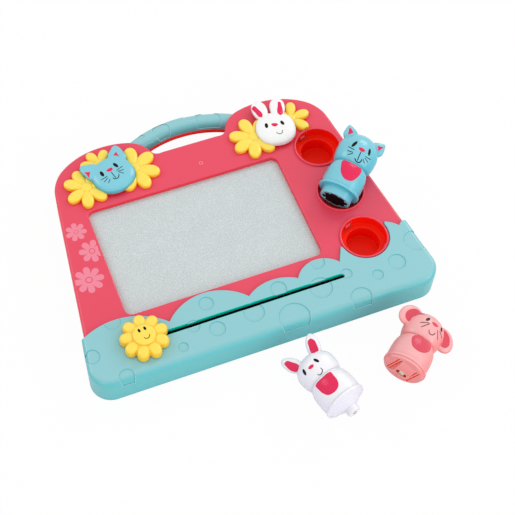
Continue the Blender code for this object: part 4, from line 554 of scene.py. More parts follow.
def domed(
    outline: Rows, centre: Sequence[float], low: float, side: float, high: float, squareness: float, steps: int
) -> Rows:
    """Rings of a cap: share cos(a)^q of the outline about its centre at height side + (high - side) sin a.

    Args:
        outline: The foot's outline.
        centre: Point that the rings close on.
        low: Height of the foot.
        side: Height where the cap starts.
        high: Height of the crown.
        squareness: The power q; small values make a flat top with a round shoulder.
        steps: Rings of the cap.

    Returns:
        The rings from the foot to the crown.
    """
    middle = np.array(centre, float)
    rings = [at_height(outline, low)]
    for a in np.linspace(0.0, math.pi / 2.0 - 0.001, steps + 1):
        share = math.cos(a) ** squareness
        rings.append(at_height(middle + (outline - middle) * share, side + (high - side) * math.sin(a)))
    return np.stack(rings)


def petal(reach: float, root: float, half: float, pinch: float, degrees: float, steps: int) -> Rows:
    """Egg-shaped petal: along = middle + half length cos t, across = half sin t (1 + pinch cos t), turned outwards."""
    t = np.arange(steps) * (math.tau / steps)
    along = (reach + root) / 2.0 + (reach - root) / 2.0 * np.cos(t)
    across = half * np.sin(t) * (1.0 + pinch * np.cos(t))
    return turned(np.stack([along, across], -1), degrees)


# Pieces


def placed(name: str, data: bpy.types.ID) -> bpy.types.Object:
    """A new object in the scene."""
    item = bpy.data.objects.new(name, data)
    bpy.context.scene.collection.objects.link(item)
    return item


class Grids:
    """Grids of points gathered into one mesh, with the material slot of every face."""

    def __init__(self, name: str) -> None:
        """Starts with no points, under the object's name."""
        self.name = name
        self.points: list[Rows] = []
        self.faces: list[list[int]] = []
        self.slots: list[int] = []
        self.count = 0

    def grid(self, rows: Rows, looped: bool, ringed: bool, slot: int) -> int:
        """Adds a grid of points with its quads.

        Args:
            rows: Points, rows by columns by three.
            looped: Whether the last row leads back to the first.
            ringed: Whether the last column leads back to the first.
            slot: Material slot of the quads.

        Returns:
            The number of the grid's first point.
        """
        n, m = rows.shape[:2]
        first = self.count
        i = np.arange(n if looped else n - 1)[:, None]
        j = np.arange(m if ringed else m - 1)[None, :]
        k, l = (i + 1) % n, (j + 1) % m
        quads = np.stack([i * m + j, i * m + l, k * m + l, k * m + j], -1).reshape(-1, 4) + first
        self.points.append(rows.reshape(-1, 3))
        self.add(quads.tolist(), slot)
        self.count += n * m
        return first

    def add(self, faces: list[list[int]], slot: int) -> None:
        """Adds faces on points that are there already."""
        self.faces += faces
        self.slots += [slot] * len(faces)

    def mesh(self, blank: int = 0) -> bpy.types.Mesh:
        """Makes the mesh, with some empty material slots."""
        mesh = bpy.data.meshes.new(self.name)
        mesh.from_pydata(np.concatenate(self.points).tolist(), [], self.faces)
        for _ in range(blank):
            mesh.materials.append(None)
        mesh.polygons.foreach_set("material_index", self.slots)
        return mesh


class Piece(Grids):
    """Closed shells gathered into one object."""

    def shell(self, rows: Rows, looped: bool = False, slot: int = 0) -> "Piece":
        """Adds rings of points as a surface, closed round each ring, with flat ends unless it loops.

        Args:
            rows: Rings of points, rings by points by three.
            looped: Whether the last ring leads back to the first.
            slot: Material slot of the shell.

        Returns:
            The piece itself.
        """
        rows = np.asarray(rows, float)
        n, m = rows.shape[:2]
        first = self.grid(rows, looped, True, slot)
        if not looped:
            foot = np.arange(m) + first
            self.add([foot[::-1].tolist(), (foot + (n - 1) * m).tolist()], slot)
        return self

    def raw(self) -> bpy.types.Object:
        """Makes the object, with doubles merged and faces turned outwards."""
        mesh = self.mesh()
        made = bmesh.new()
        made.from_mesh(mesh)
        bmesh.ops.remove_doubles(made, verts=made.verts, dist=2e-6)
        bmesh.ops.recalc_face_normals(made, faces=made.faces)
        made.to_mesh(mesh)
        made.free()
        return placed(self.name, mesh)


def spun(name: str, corners: Sequence[tuple[float, float, float]], around: int, steps: int = 4) -> bpy.types.Object:
    """A solid turned about Z from (radius, height, rounding) corners."""
    return Piece(name).shell(lathe(softened(corners, steps), around)).raw()


def baked(item: bpy.types.Object) -> bpy.types.Object:
    """Applies every modifier of an object."""
    bpy.context.view_layer.update()
    graph = bpy.context.evaluated_depsgraph_get()
    mesh = bpy.data.meshes.new_from_object(item.evaluated_get(graph))
    item.modifiers.clear()
    item.data = mesh
    return item


def carved(
    item: bpy.types.Object, tool: Piece | bpy.types.Object, how: Carving, crossing: bool = False
) -> bpy.types.Object:
    """Uses a tool on a piece and removes the tool.

    Args:
        item: The piece.
        tool: The tool, as shells or as an object.
        how: Whether the tool cuts the piece or joins it.
        crossing: Whether the tool's own shells cross each other.

    Returns:
        The piece.
    """
    shape = tool.raw() if isinstance(tool, Piece) else tool
    step = item.modifiers.new("carving", "BOOLEAN")
    step.operation = how.value
    step.solver = "EXACT"
    step.use_self = crossing
    step.object = shape
    baked(item)
    bpy.data.objects.remove(shape)
    return item


def lined(item: bpy.types.Object, slots: int = 2) -> bpy.types.Object:
    """Gives a shape empty material slots, so that a cut can leave another finish."""
    for _ in range(slots - len(item.data.materials)):
        item.data.materials.append(None)
    return item


def repainted(item: bpy.types.Object, slot: int, rule: Callable[[Rows], Rows]) -> bpy.types.Object:
    """Gives another slot to the faces that a rule picks by their middles."""
    faces = item.data.polygons
    middles, slots = np.empty(len(faces) * 3), np.empty(len(faces), np.int32)
    faces.foreach_get("center", middles)
    faces.foreach_get("material_index", slots)
    faces.foreach_set("material_index", np.where(rule(middles.reshape(-1, 3)), slot, slots).astype(np.int32))
    return item


def melted(item: bpy.types.Object, voxel: float, rounds: int) -> bpy.types.Object:
    """Melts crossing shells into one skin with soft inner corners.

    Args:
        item: The piece.
        voxel: Grid size of the new skin.
        rounds: Smoothing rounds.

    Returns:
        The piece.
    """
    step = item.modifiers.new("skin", "REMESH")
    step.mode = "VOXEL"
    step.voxel_size = voxel
    soft = item.modifiers.new("soft", "SMOOTH")
    soft.factor = 0.5
    soft.iterations = rounds
    return baked(item)


def dress(
    item: bpy.types.Object, body: str, paints: Sequence[Paint], stands_for: Sequence[str] = (), smooth: float = 35.0
) -> bpy.types.Object:
    """Shades a piece, gives it its finishes and hangs it on its body.

    Args:
        item: The piece.
        body: Body it rides on.
        paints: Finishes, one for each material slot.
        stands_for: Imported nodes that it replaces.
        smooth: Greatest angle that is shaded smooth, in degrees.

    Returns:
        The piece.
    """
    for index, paint in enumerate(paints):
        if index < len(item.data.materials):
            item.data.materials[index] = paint.material()
        else:
            item.data.materials.append(paint.material())
    item.data.shade_smooth()
    item.data.set_sharp_from_angle(angle=math.radians(smooth))
    weights = item.modifiers.new("weights", "WEIGHTED_NORMAL")
    weights.keep_sharp = True
    weights.weight = 60
    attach(item, body)
    if stands_for:
        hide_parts(*stands_for)
    LOG.info("piece %s on %s with %d faces", item.name, body, len(item.data.polygons))
    return item


# Drawn features laid on a curved skin


def ribbon_rows(path: Rows, width: float, taper: float = 0.45) -> Rows:
    """Rows across a drawn line, whose ends narrow to a share of its width."""
    path = spline(path, 8)
    along = np.gradient(path, axis=0)
    along /= np.maximum(np.linalg.norm(along, axis=1, keepdims=True), 1e-12)
    across = np.stack([along[:, 1], -along[:, 0]], -1)
    t = np.linspace(0.0, 1.0, len(path))
    half = width / 2.0 * (taper + (1.0 - taper) * np.clip(np.minimum(t, 1.0 - t) * 7.0, 0.0, 1.0) ** 0.5)[:, None]
    return np.stack([path + across * half * s for s in (-1.0, -0.5, 0.0, 0.5, 1.0)], 1)


def between(ends: Rows, width: float, bulge: float) -> Rows:
    """An ellipse whose long axis runs a bulge past each of two points."""
    along = ends[1] - ends[0]
    half = float(np.linalg.norm(along)) / 2.0 + bulge
    middle = (ends[0] + ends[1]) / 2.0
    angle = math.degrees(math.atan2(along[1], along[0]))
    return turned(circle(1.0, 28) * np.array((half, width)), angle, *middle)


def millimetres(table: Any) -> Rows:
    """A table of millimetres as an array of metres."""
    return np.array(table, float) / 1000.0


class Facing(Enum):
    """The side that a drawing is seen from: above or the front."""

    UP = "UP"
    FRONT = "FRONT"


class Drawing(Grids):
    """Thin printed features pressed onto a piece's skin."""

    def __init__(self, name: str, facing: Facing, start: float) -> None:
        """Starts an empty drawing.

        Args:
            name: The object's name.
            facing: Whether it is seen from above or from the front.
            start: Level along the facing axis that the sheets fall from.
        """
        super().__init__(name)
        self.facing = facing
        self.start = start

    def lifted(self, rows: Rows) -> Rows:
        """Plane points in space, at the level that the sheets fall from."""
        level = np.full(rows.shape[:2], self.start)
        x, y = rows[..., 0], rows[..., 1]
        return np.stack((x, y, level) if self.facing is Facing.UP else (x, level, y), -1)

    def patch(self, outline: Rows, slot: int, rings: int) -> None:
        """A filled patch inside a star-shaped outline."""
        middle = outline.mean(0)
        shares = np.linspace(0.0, 1.0, rings + 1)[1:]
        first = self.grid(self.lifted(np.stack([middle + (outline - middle) * s for s in shares])), False, True, slot)
        self.add([(np.arange(len(outline)) + first).tolist()], slot)

    def line(self, path: Rows, width: float, slot: int) -> None:
        """A drawn line through a few points."""
        self.grid(self.lifted(ribbon_rows(path, width)), False, False, slot)

    def marked(self, marks: "Sequence[Mark]", place: Callable[[Any], Rows]) -> "Drawing":
        """Adds printed features, with their tables of millimetres carried to the drawing's plane."""
        for mark in marks:
            mark.draw(self, place)
        return self

    def press(self, target: bpy.types.Object, thickness: float = 0.0002) -> bpy.types.Object:
        """Drops the sheets onto a skin along the facing axis and gives them a thickness."""
        item = placed(self.name, self.mesh(max(self.slots) + 1))
        drop = item.modifiers.new("drop", "SHRINKWRAP")
        drop.wrap_method = "PROJECT"
        drop.target = target
        drop.use_project_y = drop.use_positive_direction = self.facing is Facing.FRONT
        drop.use_project_z = drop.use_negative_direction = self.facing is Facing.UP
        body = item.modifiers.new("body", "SOLIDIFY")
        body.thickness = thickness
        body.offset = 0.0
        return baked(item)


@dataclass(frozen=True)
class Mark:
    """A printed feature: points in millimetres, in the ink of a slot."""

    slot: int
    points: Any

    def draw(self, drawing: Drawing, place: Callable[[Any], Rows]) -> None:
        """Adds the feature.

        Args:
            drawing: The drawing that takes it.
            place: Carries a table of millimetres to the drawing's plane.
        """
        raise NotImplementedError


@dataclass(frozen=True)
class Strokes(Mark):
    """Lines of one width, each through a few points."""

    width: float

    def draw(self, drawing: Drawing, place: Callable[[Any], Rows]) -> None:
        """Adds the lines."""
        for path in self.points:
            drawing.line(place(path), self.width, self.slot)


@dataclass(frozen=True)
class Fill(Mark):
    """A patch inside a smooth closed curve."""

    rings: int
    per: int = 7

    def draw(self, drawing: Drawing, place: Callable[[Any], Rows]) -> None:
        """Adds the patch."""
        drawing.patch(spline(place(self.points), self.per, True), self.slot, self.rings)


@dataclass(frozen=True)
class Eyes(Mark):
    """Ovals, each from the two ends of its long axis."""

    half: float
    bulge: float

    def draw(self, drawing: Drawing, place: Callable[[Any], Rows]) -> None:
        """Adds the ovals."""
        for ends in self.points:
            drawing.patch(between(place(ends), self.half, self.bulge), self.slot, 5)


def mirrored(points: Any) -> list[tuple[float, float]]:
    """A table of points on the other side of the middle line."""
    return [(-x, y) for x, y in points]


def swollen(corners: Any, share: float = 1.12) -> list[list[float]]:
    """A polygon's corners and edge middles, moved out from its middle by a share."""
    corners = np.array(corners)
    middle = corners.mean(0)
    wide = np.stack([corners, (corners + np.roll(corners, -1, axis=0)) / 2.0], 1).reshape(-1, 2)
    return (middle + (wide - middle) * share).tolist()


# The board's plan


@dataclass(frozen=True)
class Plan:
    """Outline of the board: two slanted sides, two round front corners and two humps with a hollow between them."""

    half_width: float = HALF_WIDTH
    reach: float = 0.123702
    slant: float = 0.128
    corner: float = 0.0173
    hump: tuple[tuple[float, float], ...] = (
        (0.926, 0.579), (0.918, 0.619), (0.901, 0.661), (0.857, 0.724), (0.8, 0.769), (0.744, 0.799),
        (0.683, 0.822), (0.618, 0.837), (0.547, 0.843), (0.477, 0.8405), (0.412, 0.83), (0.3545, 0.8126),
        (0.304, 0.78), (0.2726, 0.744), (0.253, 0.708), (0.24, 0.685), (0.22, 0.675), (0.176, 0.675),
    )

    def side(self, y: float) -> float:
        """Half width at a place along the board."""
        return self.half_width - self.slant * y

    def outline(self) -> Rows:
        """Dense counterclockwise outline from the left front corner."""
        hump = np.array(self.hump) * self.half_width
        lead = np.array([(self.side(y), y) for y in (0.070, 0.080)])
        tail = np.array([(0.020, hump[-1, 1]), (0.010, hump[-1, 1])])
        right = spline(np.concatenate([lead, hump, tail]), 5)
        left = right[::-1] * np.array((-1.0, 1.0))
        edge = self.side(-self.reach)
        corners = ((-edge, -self.reach), (edge, -self.reach))
        first = fillet(corners[0], left[-1], corners[1], self.corner, 22)
        second = fillet(corners[1], corners[0], right[0], self.corner, 22)
        return np.concatenate([first, second, right, left])


@dataclass(frozen=True)
class Window:
    """Screen window of the frame."""

    x: float = -0.023691
    width: float = 0.200022
    depth: float = 0.12402
    corner: float = 0.007
    drop: float = 0.005
    wall: float = 0.0028
    flare: float = 0.0014

    def outline(self, margin: float = 0.0) -> Rows:
        """Its outline, or one that lies a margin outside it."""
        return rounded_box(self.x, 0.0, self.width / 2 + margin, self.depth / 2 + margin, self.corner + margin, 12)


def flower_outline(reach: float, root: float, angles: Sequence[float], half: float, steps: int) -> Rows:
    """Star-shaped outline: at each angle the farthest of the root circle and the petals' round ends.

    A petal at angle c reaches r = root + (reach - root) sqrt(1 - |t - c|/w)^p with the power p = 2.6.

    Args:
        reach: Distance of the petals' tips.
        root: Radius between the petals.
        angles: The petals' angles in degrees.
        half: Half of a petal's width in degrees.
        steps: Points of the outline.

    Returns:
        The outline about the origin.
    """
    t = np.arange(steps) * (360.0 / steps)
    off = (t[:, None] - np.array(angles)[None, :] + 180.0) % 360.0 - 180.0
    share = np.clip(1.0 - np.abs(off / half) ** 2.6, 0.0, 1.0)
    radius = root + (reach - root) * np.sqrt(share).max(1)
    a = np.radians(t)
    return np.stack([radius * np.cos(a), radius * np.sin(a)], -1)


@dataclass
class Shell:
    """The red shell: top with window, cup holes and slot, tray with the handle's bar, and their screws."""

    plan: Plan = field(default_factory=Plan)
    window: Window = field(default_factory=Window)
    wall: float = 0.0022
    plate: float = 0.0025
    bite: float = 0.0006
    side_round: float = 0.0028
    front_round: float = 0.0072
    cup_hole: float = 0.0239
    slot_y: float = -0.0927924
    slot_left: float = -0.122602
    slot_right: float = 0.08552
    slot_half: float = 0.0034
    slot_margin: float = 0.0011
    well: float = 0.0036
    well_depth: float = 0.0024
    screw_head: float = 0.003
    screw_crown: float = 0.0016
    screw_shank: float = 0.0012
    tray_screw: float = 0.012
    handle_screw: float = 0.0072
    blade: float = 0.0004
    blade_floor: float = 0.0009
    print_low: float = BOARD_TOP - 0.0003
    print_high: float = BOARD_TOP + 0.00005
    print_margin: float = 0.0012

    # Inset and height of the tray's rounded foot
    FOOT = ((0.0018, 0.0), (0.0006, 0.0005), (0.0, 0.0018))
    # The handle bar's section, in shares of its half width and depth
    BAR = ((1.0, 0.0), (-1.0, 0.0), (-1.0, 0.7), (-0.93, 0.86), (-0.7, 1.0), (0.7, 1.0), (0.93, 0.86), (1.0, 0.7))
    # Places of the tray's screws, in shares of the half width, and angles of the handle's
    SCREWS = ((-0.800, 0.610), (0.800, 0.640), (-0.010, 0.600), (-0.950, -0.240), (-0.905, -0.700), (-0.010, -0.700),
              (0.930, -0.680))
    HANDLE_SCREWS = (-15.0, 15.0)
    # Place, reach, petals, first petal and half width in degrees of each printed flower
    FLOWERS = ((-0.1406, 0.0435, 0.0103, 7, 90.0, 23.0), (-0.1327, 0.0174, 0.0125, 7, 118.0, 23.0),
               (-0.1452, -0.0126, 0.0145, 8, 86.0, 20.5))
    # Shares of a printed flower's reach
    ROOT, HOLE, MIDDLE = 0.30, 0.26, 0.17

    def slot(self, half: float, margin: float) -> Rows:
        """The eraser's slot with round ends."""
        middle, length = (self.slot_left + self.slot_right) / 2.0, (self.slot_right - self.slot_left) / 2.0
        return rounded_box(middle, self.slot_y, length + margin, half, half * 0.999, 10)

    def build(self) -> None:
        """Builds and dresses every piece of the shell."""
        self.top()
        self.tray()
        self.prints()
        self.fasteners()

    def top(self) -> None:
        """Upper half of the shell."""
        outline, window = self.plan.outline(), self.window
        rows = rim_rows(outline, PARTING + GAP / 2, BOARD_TOP, self.side_round, self.front_round, 8)
        block = Piece("fine_frame").shell(rows).raw()
        ceiling, inner = BOARD_TOP - self.plate, moved(outline, -self.wall)
        rows = rim_rows(inner, -OVER, ceiling, self.side_round / 2, self.front_round - self.wall, 3)
        carved(block, Piece("hollow").shell(rows), Carving.CUT)
        lip = upright(window.outline(window.wall), BOARD_TOP - window.drop, ceiling + self.bite)
        carved(block, Piece("lip").shell(lip), Carving.JOIN)
        cuts = Piece("holes").shell(flared(window.outline(), BOARD_TOP - window.drop - OVER, BOARD_TOP, window.flare))
        for y in CUP_ROWS:
            cuts.shell(upright(circle(self.cup_hole, 96, CUP_X, y), PARTING, BOARD_TOP + OVER))
        carved(block, cuts, Carving.CUT)
        lined(block)
        slot = upright(self.slot(self.slot_half, self.slot_margin), PARTING, BOARD_TOP + OVER)
        carved(block, lined(Piece("frame_slot").shell(slot, slot=1).raw()), Carving.CUT)
        dress(block, "board", [Paint.PINK_RED, Paint.SHADOW], ["front_frame"], smooth=32.0)

    def tray(self) -> None:
        """Lower half of the shell with the handle's bar and the screw wells."""
        outline = self.plan.outline()
        high = PARTING - GAP / 2
        rows = [at_height(moved(outline, -inset), z) for inset, z in self.FOOT] + [at_height(outline, high)]
        block = Piece("fine_tray").shell(np.stack(rows)).raw()
        section = np.array([(x * Handle.half, high - z * Handle.drop) for x, z in self.BAR])
        # The bar takes slot 2, its red painted fuller and brighter for the light through its strip
        bar = Piece("bar").shell(Handle.sweep(section, Handle.spread, 72), slot=2).raw()
        carved(lined(block, 3), lined(bar, 3), Carving.JOIN)
        hollow = Piece("tray_hollow").shell(upright(moved(outline, -self.wall), self.wall, PARTING + OVER), slot=1)
        carved(block, lined(hollow.raw(), 3), Carving.CUT)
        wells = Piece("wells")
        for x, y, foot in self.seats():
            wells.shell(upright(circle(self.well, 40, x, y), foot - OVER, foot + self.well_depth))
        carved(block, wells, Carving.CUT)
        paints = [Paint.PINK_RED, Paint.SHADOW, Paint.BAR_RED]
        dress(block, "board", paints, ["back_cover"], smooth=32.0)

    def seats(self) -> list[tuple[float, float, float]]:
        """Places of the screws with the height of the face that each is sunk into."""
        found = [(x * HALF_WIDTH, y * HALF_WIDTH, 0.0) for x, y in self.SCREWS]
        return found + [(*Handle.place(a), PARTING - GAP / 2 - Handle.drop) for a in self.HANDLE_SCREWS]

    def fasteners(self) -> None:
        """Round-headed screws with a slot, seen from below."""
        head, crown, shank, many = self.screw_head, self.screw_crown, self.screw_shank, len(self.SCREWS)
        for index, (x, y, foot) in enumerate(self.seats(), 1):
            seat = foot + self.well_depth - GAP
            name = f"tray_screw_{index}" if index <= many else f"handle_screw_{index - many}"
            length = self.tray_screw if index <= many else self.handle_screw
            profile = softened([
                (AXIS, -crown, 0), (head * 0.8, -crown, 0.0009), (head, -crown / 2, 0.0005), (head, 0, 0),
                (shank, 0, 0), (shank, length - shank, 0), (AXIS, length, 0),
            ])
            screw = Piece("fine_" + name).shell(lathe(profile, 40) + np.array((x, y, seat))).raw()
            blade = upright(rounded_box(x, y, self.well, self.blade, 0.0001, 2), seat - OVER, seat - self.blade_floor)
            carved(screw, Piece("blade").shell(blade), Carving.CUT)
            dress(screw, "board", [Paint.STEEL], [name], smooth=30.0)

    def prints(self) -> None:
        """Pale flowers printed left of the window, and the small ring that the mould leaves on the top."""
        piece = Piece("printed_flowers")
        low, high = self.print_low, self.print_high
        for x, y, reach, count, first, half in self.FLOWERS:
            angles = first + np.arange(count) * 360.0 / count
            outer = self.trimmed(flower_outline(reach, reach * self.ROOT, angles, half, 320), x, y) + np.array((x, y))
            inner = circle(reach * self.HOLE, 320, x, y)
            loop = [at_height(inner, low), at_height(outer, low), at_height(outer, high), at_height(inner, high)]
            piece.shell(np.stack(loop), True)
            piece.shell(upright(circle(reach * self.MIDDLE, 40, x, y), low, high))
        dress(piece.raw(), "board", [Paint.PRINT_PINK])
        section = circle(1.0, 12) * np.array((0.00022, 0.00016)) + np.array((0.0017, BOARD_TOP - 0.00004))
        mark = Piece("mould_mark").shell(lathe(section, 48) + np.array((0.0022, 0.0797, 0.0)), True)
        dress(mark.raw(), "board", [Paint.PINK_RED])

    def trimmed(self, outline: Rows, x: float, y: float) -> Rows:
        """Shortens an outline's rays at the window's edge and at the board's slanted left side."""
        limit = self.window.x - self.window.width / 2 - self.window.flare - self.print_margin - x
        share = np.where(outline[:, 0] > limit, limit / np.maximum(outline[:, 0], 1e-9), 1.0)
        outline = outline * share[:, None]
        room = self.plan.side(y) - 2.0 * self.print_margin + x
        along = -outline[:, 0] + self.plan.slant * outline[:, 1]
        share = np.where(along > room, room / np.maximum(along, 1e-9), 1.0)
        return outline * share[:, None]


@dataclass
class Skirt:
    """Teal cover over the board's front edge, with a wavy back edge, a slot and sunken round spots."""

    shell: Shell
    wall: float = 0.0027
    foot: float = 0.0006
    side_round: float = 0.0045
    front_round: float = 0.0095
    under_side: float = 0.0022
    under_front: float = 0.0072
    sunk: float = 0.0009
    edge: float = 0.0009
    cup_cut: float = 0.0252
    slot_half: float = 0.0023
    slot_edge: float = 0.0005
    collar_half: float = 0.0031
    collar_wall: float = 0.0008
    collar_foot: float = BOARD_TOP - 0.0023
    spot_inset: float = 0.0004

    # The wavy edge in shares of the half width, and the two ends of its last part from the front cup's middle
    WAVE = ((-1.060, -0.448), (-0.828, -0.396), (-0.559, -0.518), (-0.319, -0.405), (-0.058, -0.519),
            (0.093, -0.462), (0.265, -0.505), (0.408, -0.421), (0.547, -0.485))
    TIP = (-0.0267, -0.0030)
    LAST = ((0.0256, 0.0089), (0.0326, 0.0050), (0.0377, 0.0), (0.0404, 0.0026), (0.0447, 0.0038))
    # Bounds of the tool behind the edge
    FAR, BACK = 0.32, 0.275
    # Place and radius of each spot in shares of the half width
    TOP = ((-0.316, -0.480, 0.047), (0.126, -0.534, 0.051), (0.416, -0.443, 0.048), (0.552, -0.579, 0.036),
           (0.728, -0.652, 0.036), (0.876, -0.608, 0.055), (0.368, -0.616, 0.072), (-0.071, -0.633, 0.065),
           (-0.312, -0.661, 0.050), (-0.438, -0.597, 0.041), (-0.540, -0.706, 0.032), (-0.875, -0.406, 0.052))
    FRONT = ((-0.904, -0.769, 0.048), (0.144, -0.748, 0.097), (0.573, -0.762, 0.069))
    SIDE = ((1.047, -0.506, 0.074), (-1.054, -0.584, 0.048))

    def wave(self) -> Rows:
        """Counterclockwise outline of all that lies behind the wavy edge."""
        table = [(x * HALF_WIDTH, y * HALF_WIDTH) for x, y in self.WAVE]
        points = [np.array([(-self.FAR, table[0][1]), table[0]])]
        points += [arc(table[k], table[k + 1], table[k + 2], 36) for k in range(0, len(table) - 1, 2)]
        y = CUP_ROWS[2]
        points.append(np.array([(CUP_X + self.TIP[0], y + self.TIP[1])]))
        a = np.radians(191.0 + 183.0 * np.arange(49) / 48)
        points.append(np.stack([CUP_X + self.cup_cut * np.cos(a), y + self.cup_cut * np.sin(a)], -1))
        last = [(CUP_X + px, y + py) for px, py in self.LAST]
        points += [np.array([last[0]]), arc(last[0], last[1], last[2], 12), arc(last[2], last[3], last[4], 8)]
        points.append(np.array([(self.FAR, last[4][1]), (self.FAR, self.BACK), (-self.FAR, self.BACK)]))
        return np.concatenate(points)

    def build(self) -> None:
        """Builds and dresses the skirt."""
        outline = self.shell.plan.outline()
        outer = rim_rows(moved(outline, GAP + self.wall), self.foot, SKIRT_TOP, self.side_round, self.front_round, 14)
        skirt = Piece("fine_skirt").shell(outer).raw()
        inner = rim_rows(moved(outline, GAP), -OVER, BOARD_TOP + GAP, self.under_side, self.under_front, 5)
        carved(skirt, Piece("under").shell(inner), Carving.CUT)
        carved(skirt, Piece("behind").shell(flared(self.wave(), -OVER, SKIRT_TOP, self.edge, 5)), Carving.CUT)
        rim = self.shell.slot(self.collar_half, self.collar_wall)
        collar = upright(rim, self.collar_foot, SKIRT_TOP - self.collar_wall)
        lined(carved(skirt, Piece("collar").shell(collar), Carving.JOIN))
        # Slot 1 of the slot's wall takes the painted brighter teal of light bouncing in it
        slot = flared(self.shell.slot(self.slot_half, 0.0), PARTING, SKIRT_TOP, self.slot_edge, 4)
        carved(skirt, lined(Piece("slot").shell(slot, slot=1).raw()), Carving.CUT)
        carved(skirt, self.spots(outline), Carving.CUT)
        dress(skirt, "board", [Paint.TEAL, Paint.DEEP_TEAL], ["lower_skirt"], smooth=34.0)

    def spots(self, outline: Rows) -> bpy.types.Object:
        """The tool of the sunken spots, whose floor follows the skin."""
        side, front, top = self.side_round - self.sunk, self.front_round - self.sunk, SKIRT_TOP - self.sunk
        core = rim_rows(moved(outline, GAP + self.wall - self.sunk), -OVER, top, side, front, 14)
        tool = Piece("spots")
        feet = (PARTING, SKIRT_TOP - self.front_round, SKIRT_TOP - self.side_round)
        for table, low in zip((self.TOP, self.FRONT, self.SIDE), feet):
            for x, y, r in table:
                ring = circle(r * HALF_WIDTH - self.spot_inset, 72, x * HALF_WIDTH, y * HALF_WIDTH)
                tool.shell(flared(ring, low, SKIRT_TOP, self.edge, 5))
        return carved(tool.raw(), Piece("floor").shell(core), Carving.CUT)


@dataclass
class Handle:
    """Arched carrying handle: a teal cover with sunken spots over the tray's red bar."""

    shell: Shell
    sunk: float = 0.0007
    bevel: float = 0.0006
    spot_foot: float = PARTING + 0.002

    centre = 0.0235002
    radius = 0.1157997
    half = 0.0092
    height = 0.009
    drop = 0.0072
    spread = 40.0
    SPOTS = ((-0.278, 0.849, 0.030), (-0.132, 0.856, 0.060), (0.084, 0.905, 0.044), (0.187, 0.832, 0.082))

    @staticmethod
    def place(degrees: float) -> tuple[float, float]:
        """Place on the arch's middle line at an angle from its crown."""
        a = math.radians(degrees)
        return Handle.radius * math.sin(a), Handle.centre + Handle.radius * math.cos(a)

    @staticmethod
    def sweep(section: Rows, spread: float, steps: int) -> Rows:
        """Rings of a section of (outwards, up) pairs carried along the arch."""
        a = np.radians(np.linspace(-spread, spread, steps + 1))[:, None]
        r = Handle.radius + section[None, :, 0]
        z = np.broadcast_to(section[None, :, 1], (len(a), len(section)))
        return np.stack([np.sin(a) * r, Handle.centre + np.cos(a) * r, z], -1)

    def section(self, inset: float, foot: float) -> Rows:
        """Half oval above the parting, with its foot drawn down to a level."""
        a = np.linspace(0.0, math.pi, 33)
        low = PARTING + GAP / 2
        arch = np.stack([(self.half - inset) * np.cos(a), low + (self.height - inset) * np.sin(a)], -1)
        if foot >= low:
            return arch
        return np.concatenate([np.array([(self.half - inset, foot)]), arch, np.array([(-self.half + inset, foot)])])

    def build(self) -> None:
        """Builds and dresses the cover."""
        rows = self.sweep(self.section(0.0, PARTING + GAP), self.spread, 96)
        cover = Piece("fine_handle").shell(rows).raw()
        side = upright(moved(self.shell.plan.outline(), GAP), PARTING - OVER, BOARD_TOP + OVER)
        carved(cover, Piece("board_side").shell(side), Carving.CUT)
        spots = Piece("handle_spots")
        for x, y, r in self.SPOTS:
            ring = circle(r * HALF_WIDTH, 64, x * HALF_WIDTH, y * HALF_WIDTH)
            spots.shell(upright(ring, self.spot_foot, BOARD_TOP + OVER))
        core = Piece("handle_core").shell(self.sweep(self.section(self.sunk, PARTING - OVER), self.spread + 2.0, 96))
        carved(cover, carved(spots.raw(), core, Carving.CUT), Carving.CUT)
        rounded = cover.modifiers.new("rounded", "BEVEL")
        rounded.width = self.bevel
        rounded.segments = 2
        rounded.angle_limit = math.radians(38.0)
        dress(baked(cover), "board", [Paint.TEAL], ["handle_cover"], smooth=50.0)


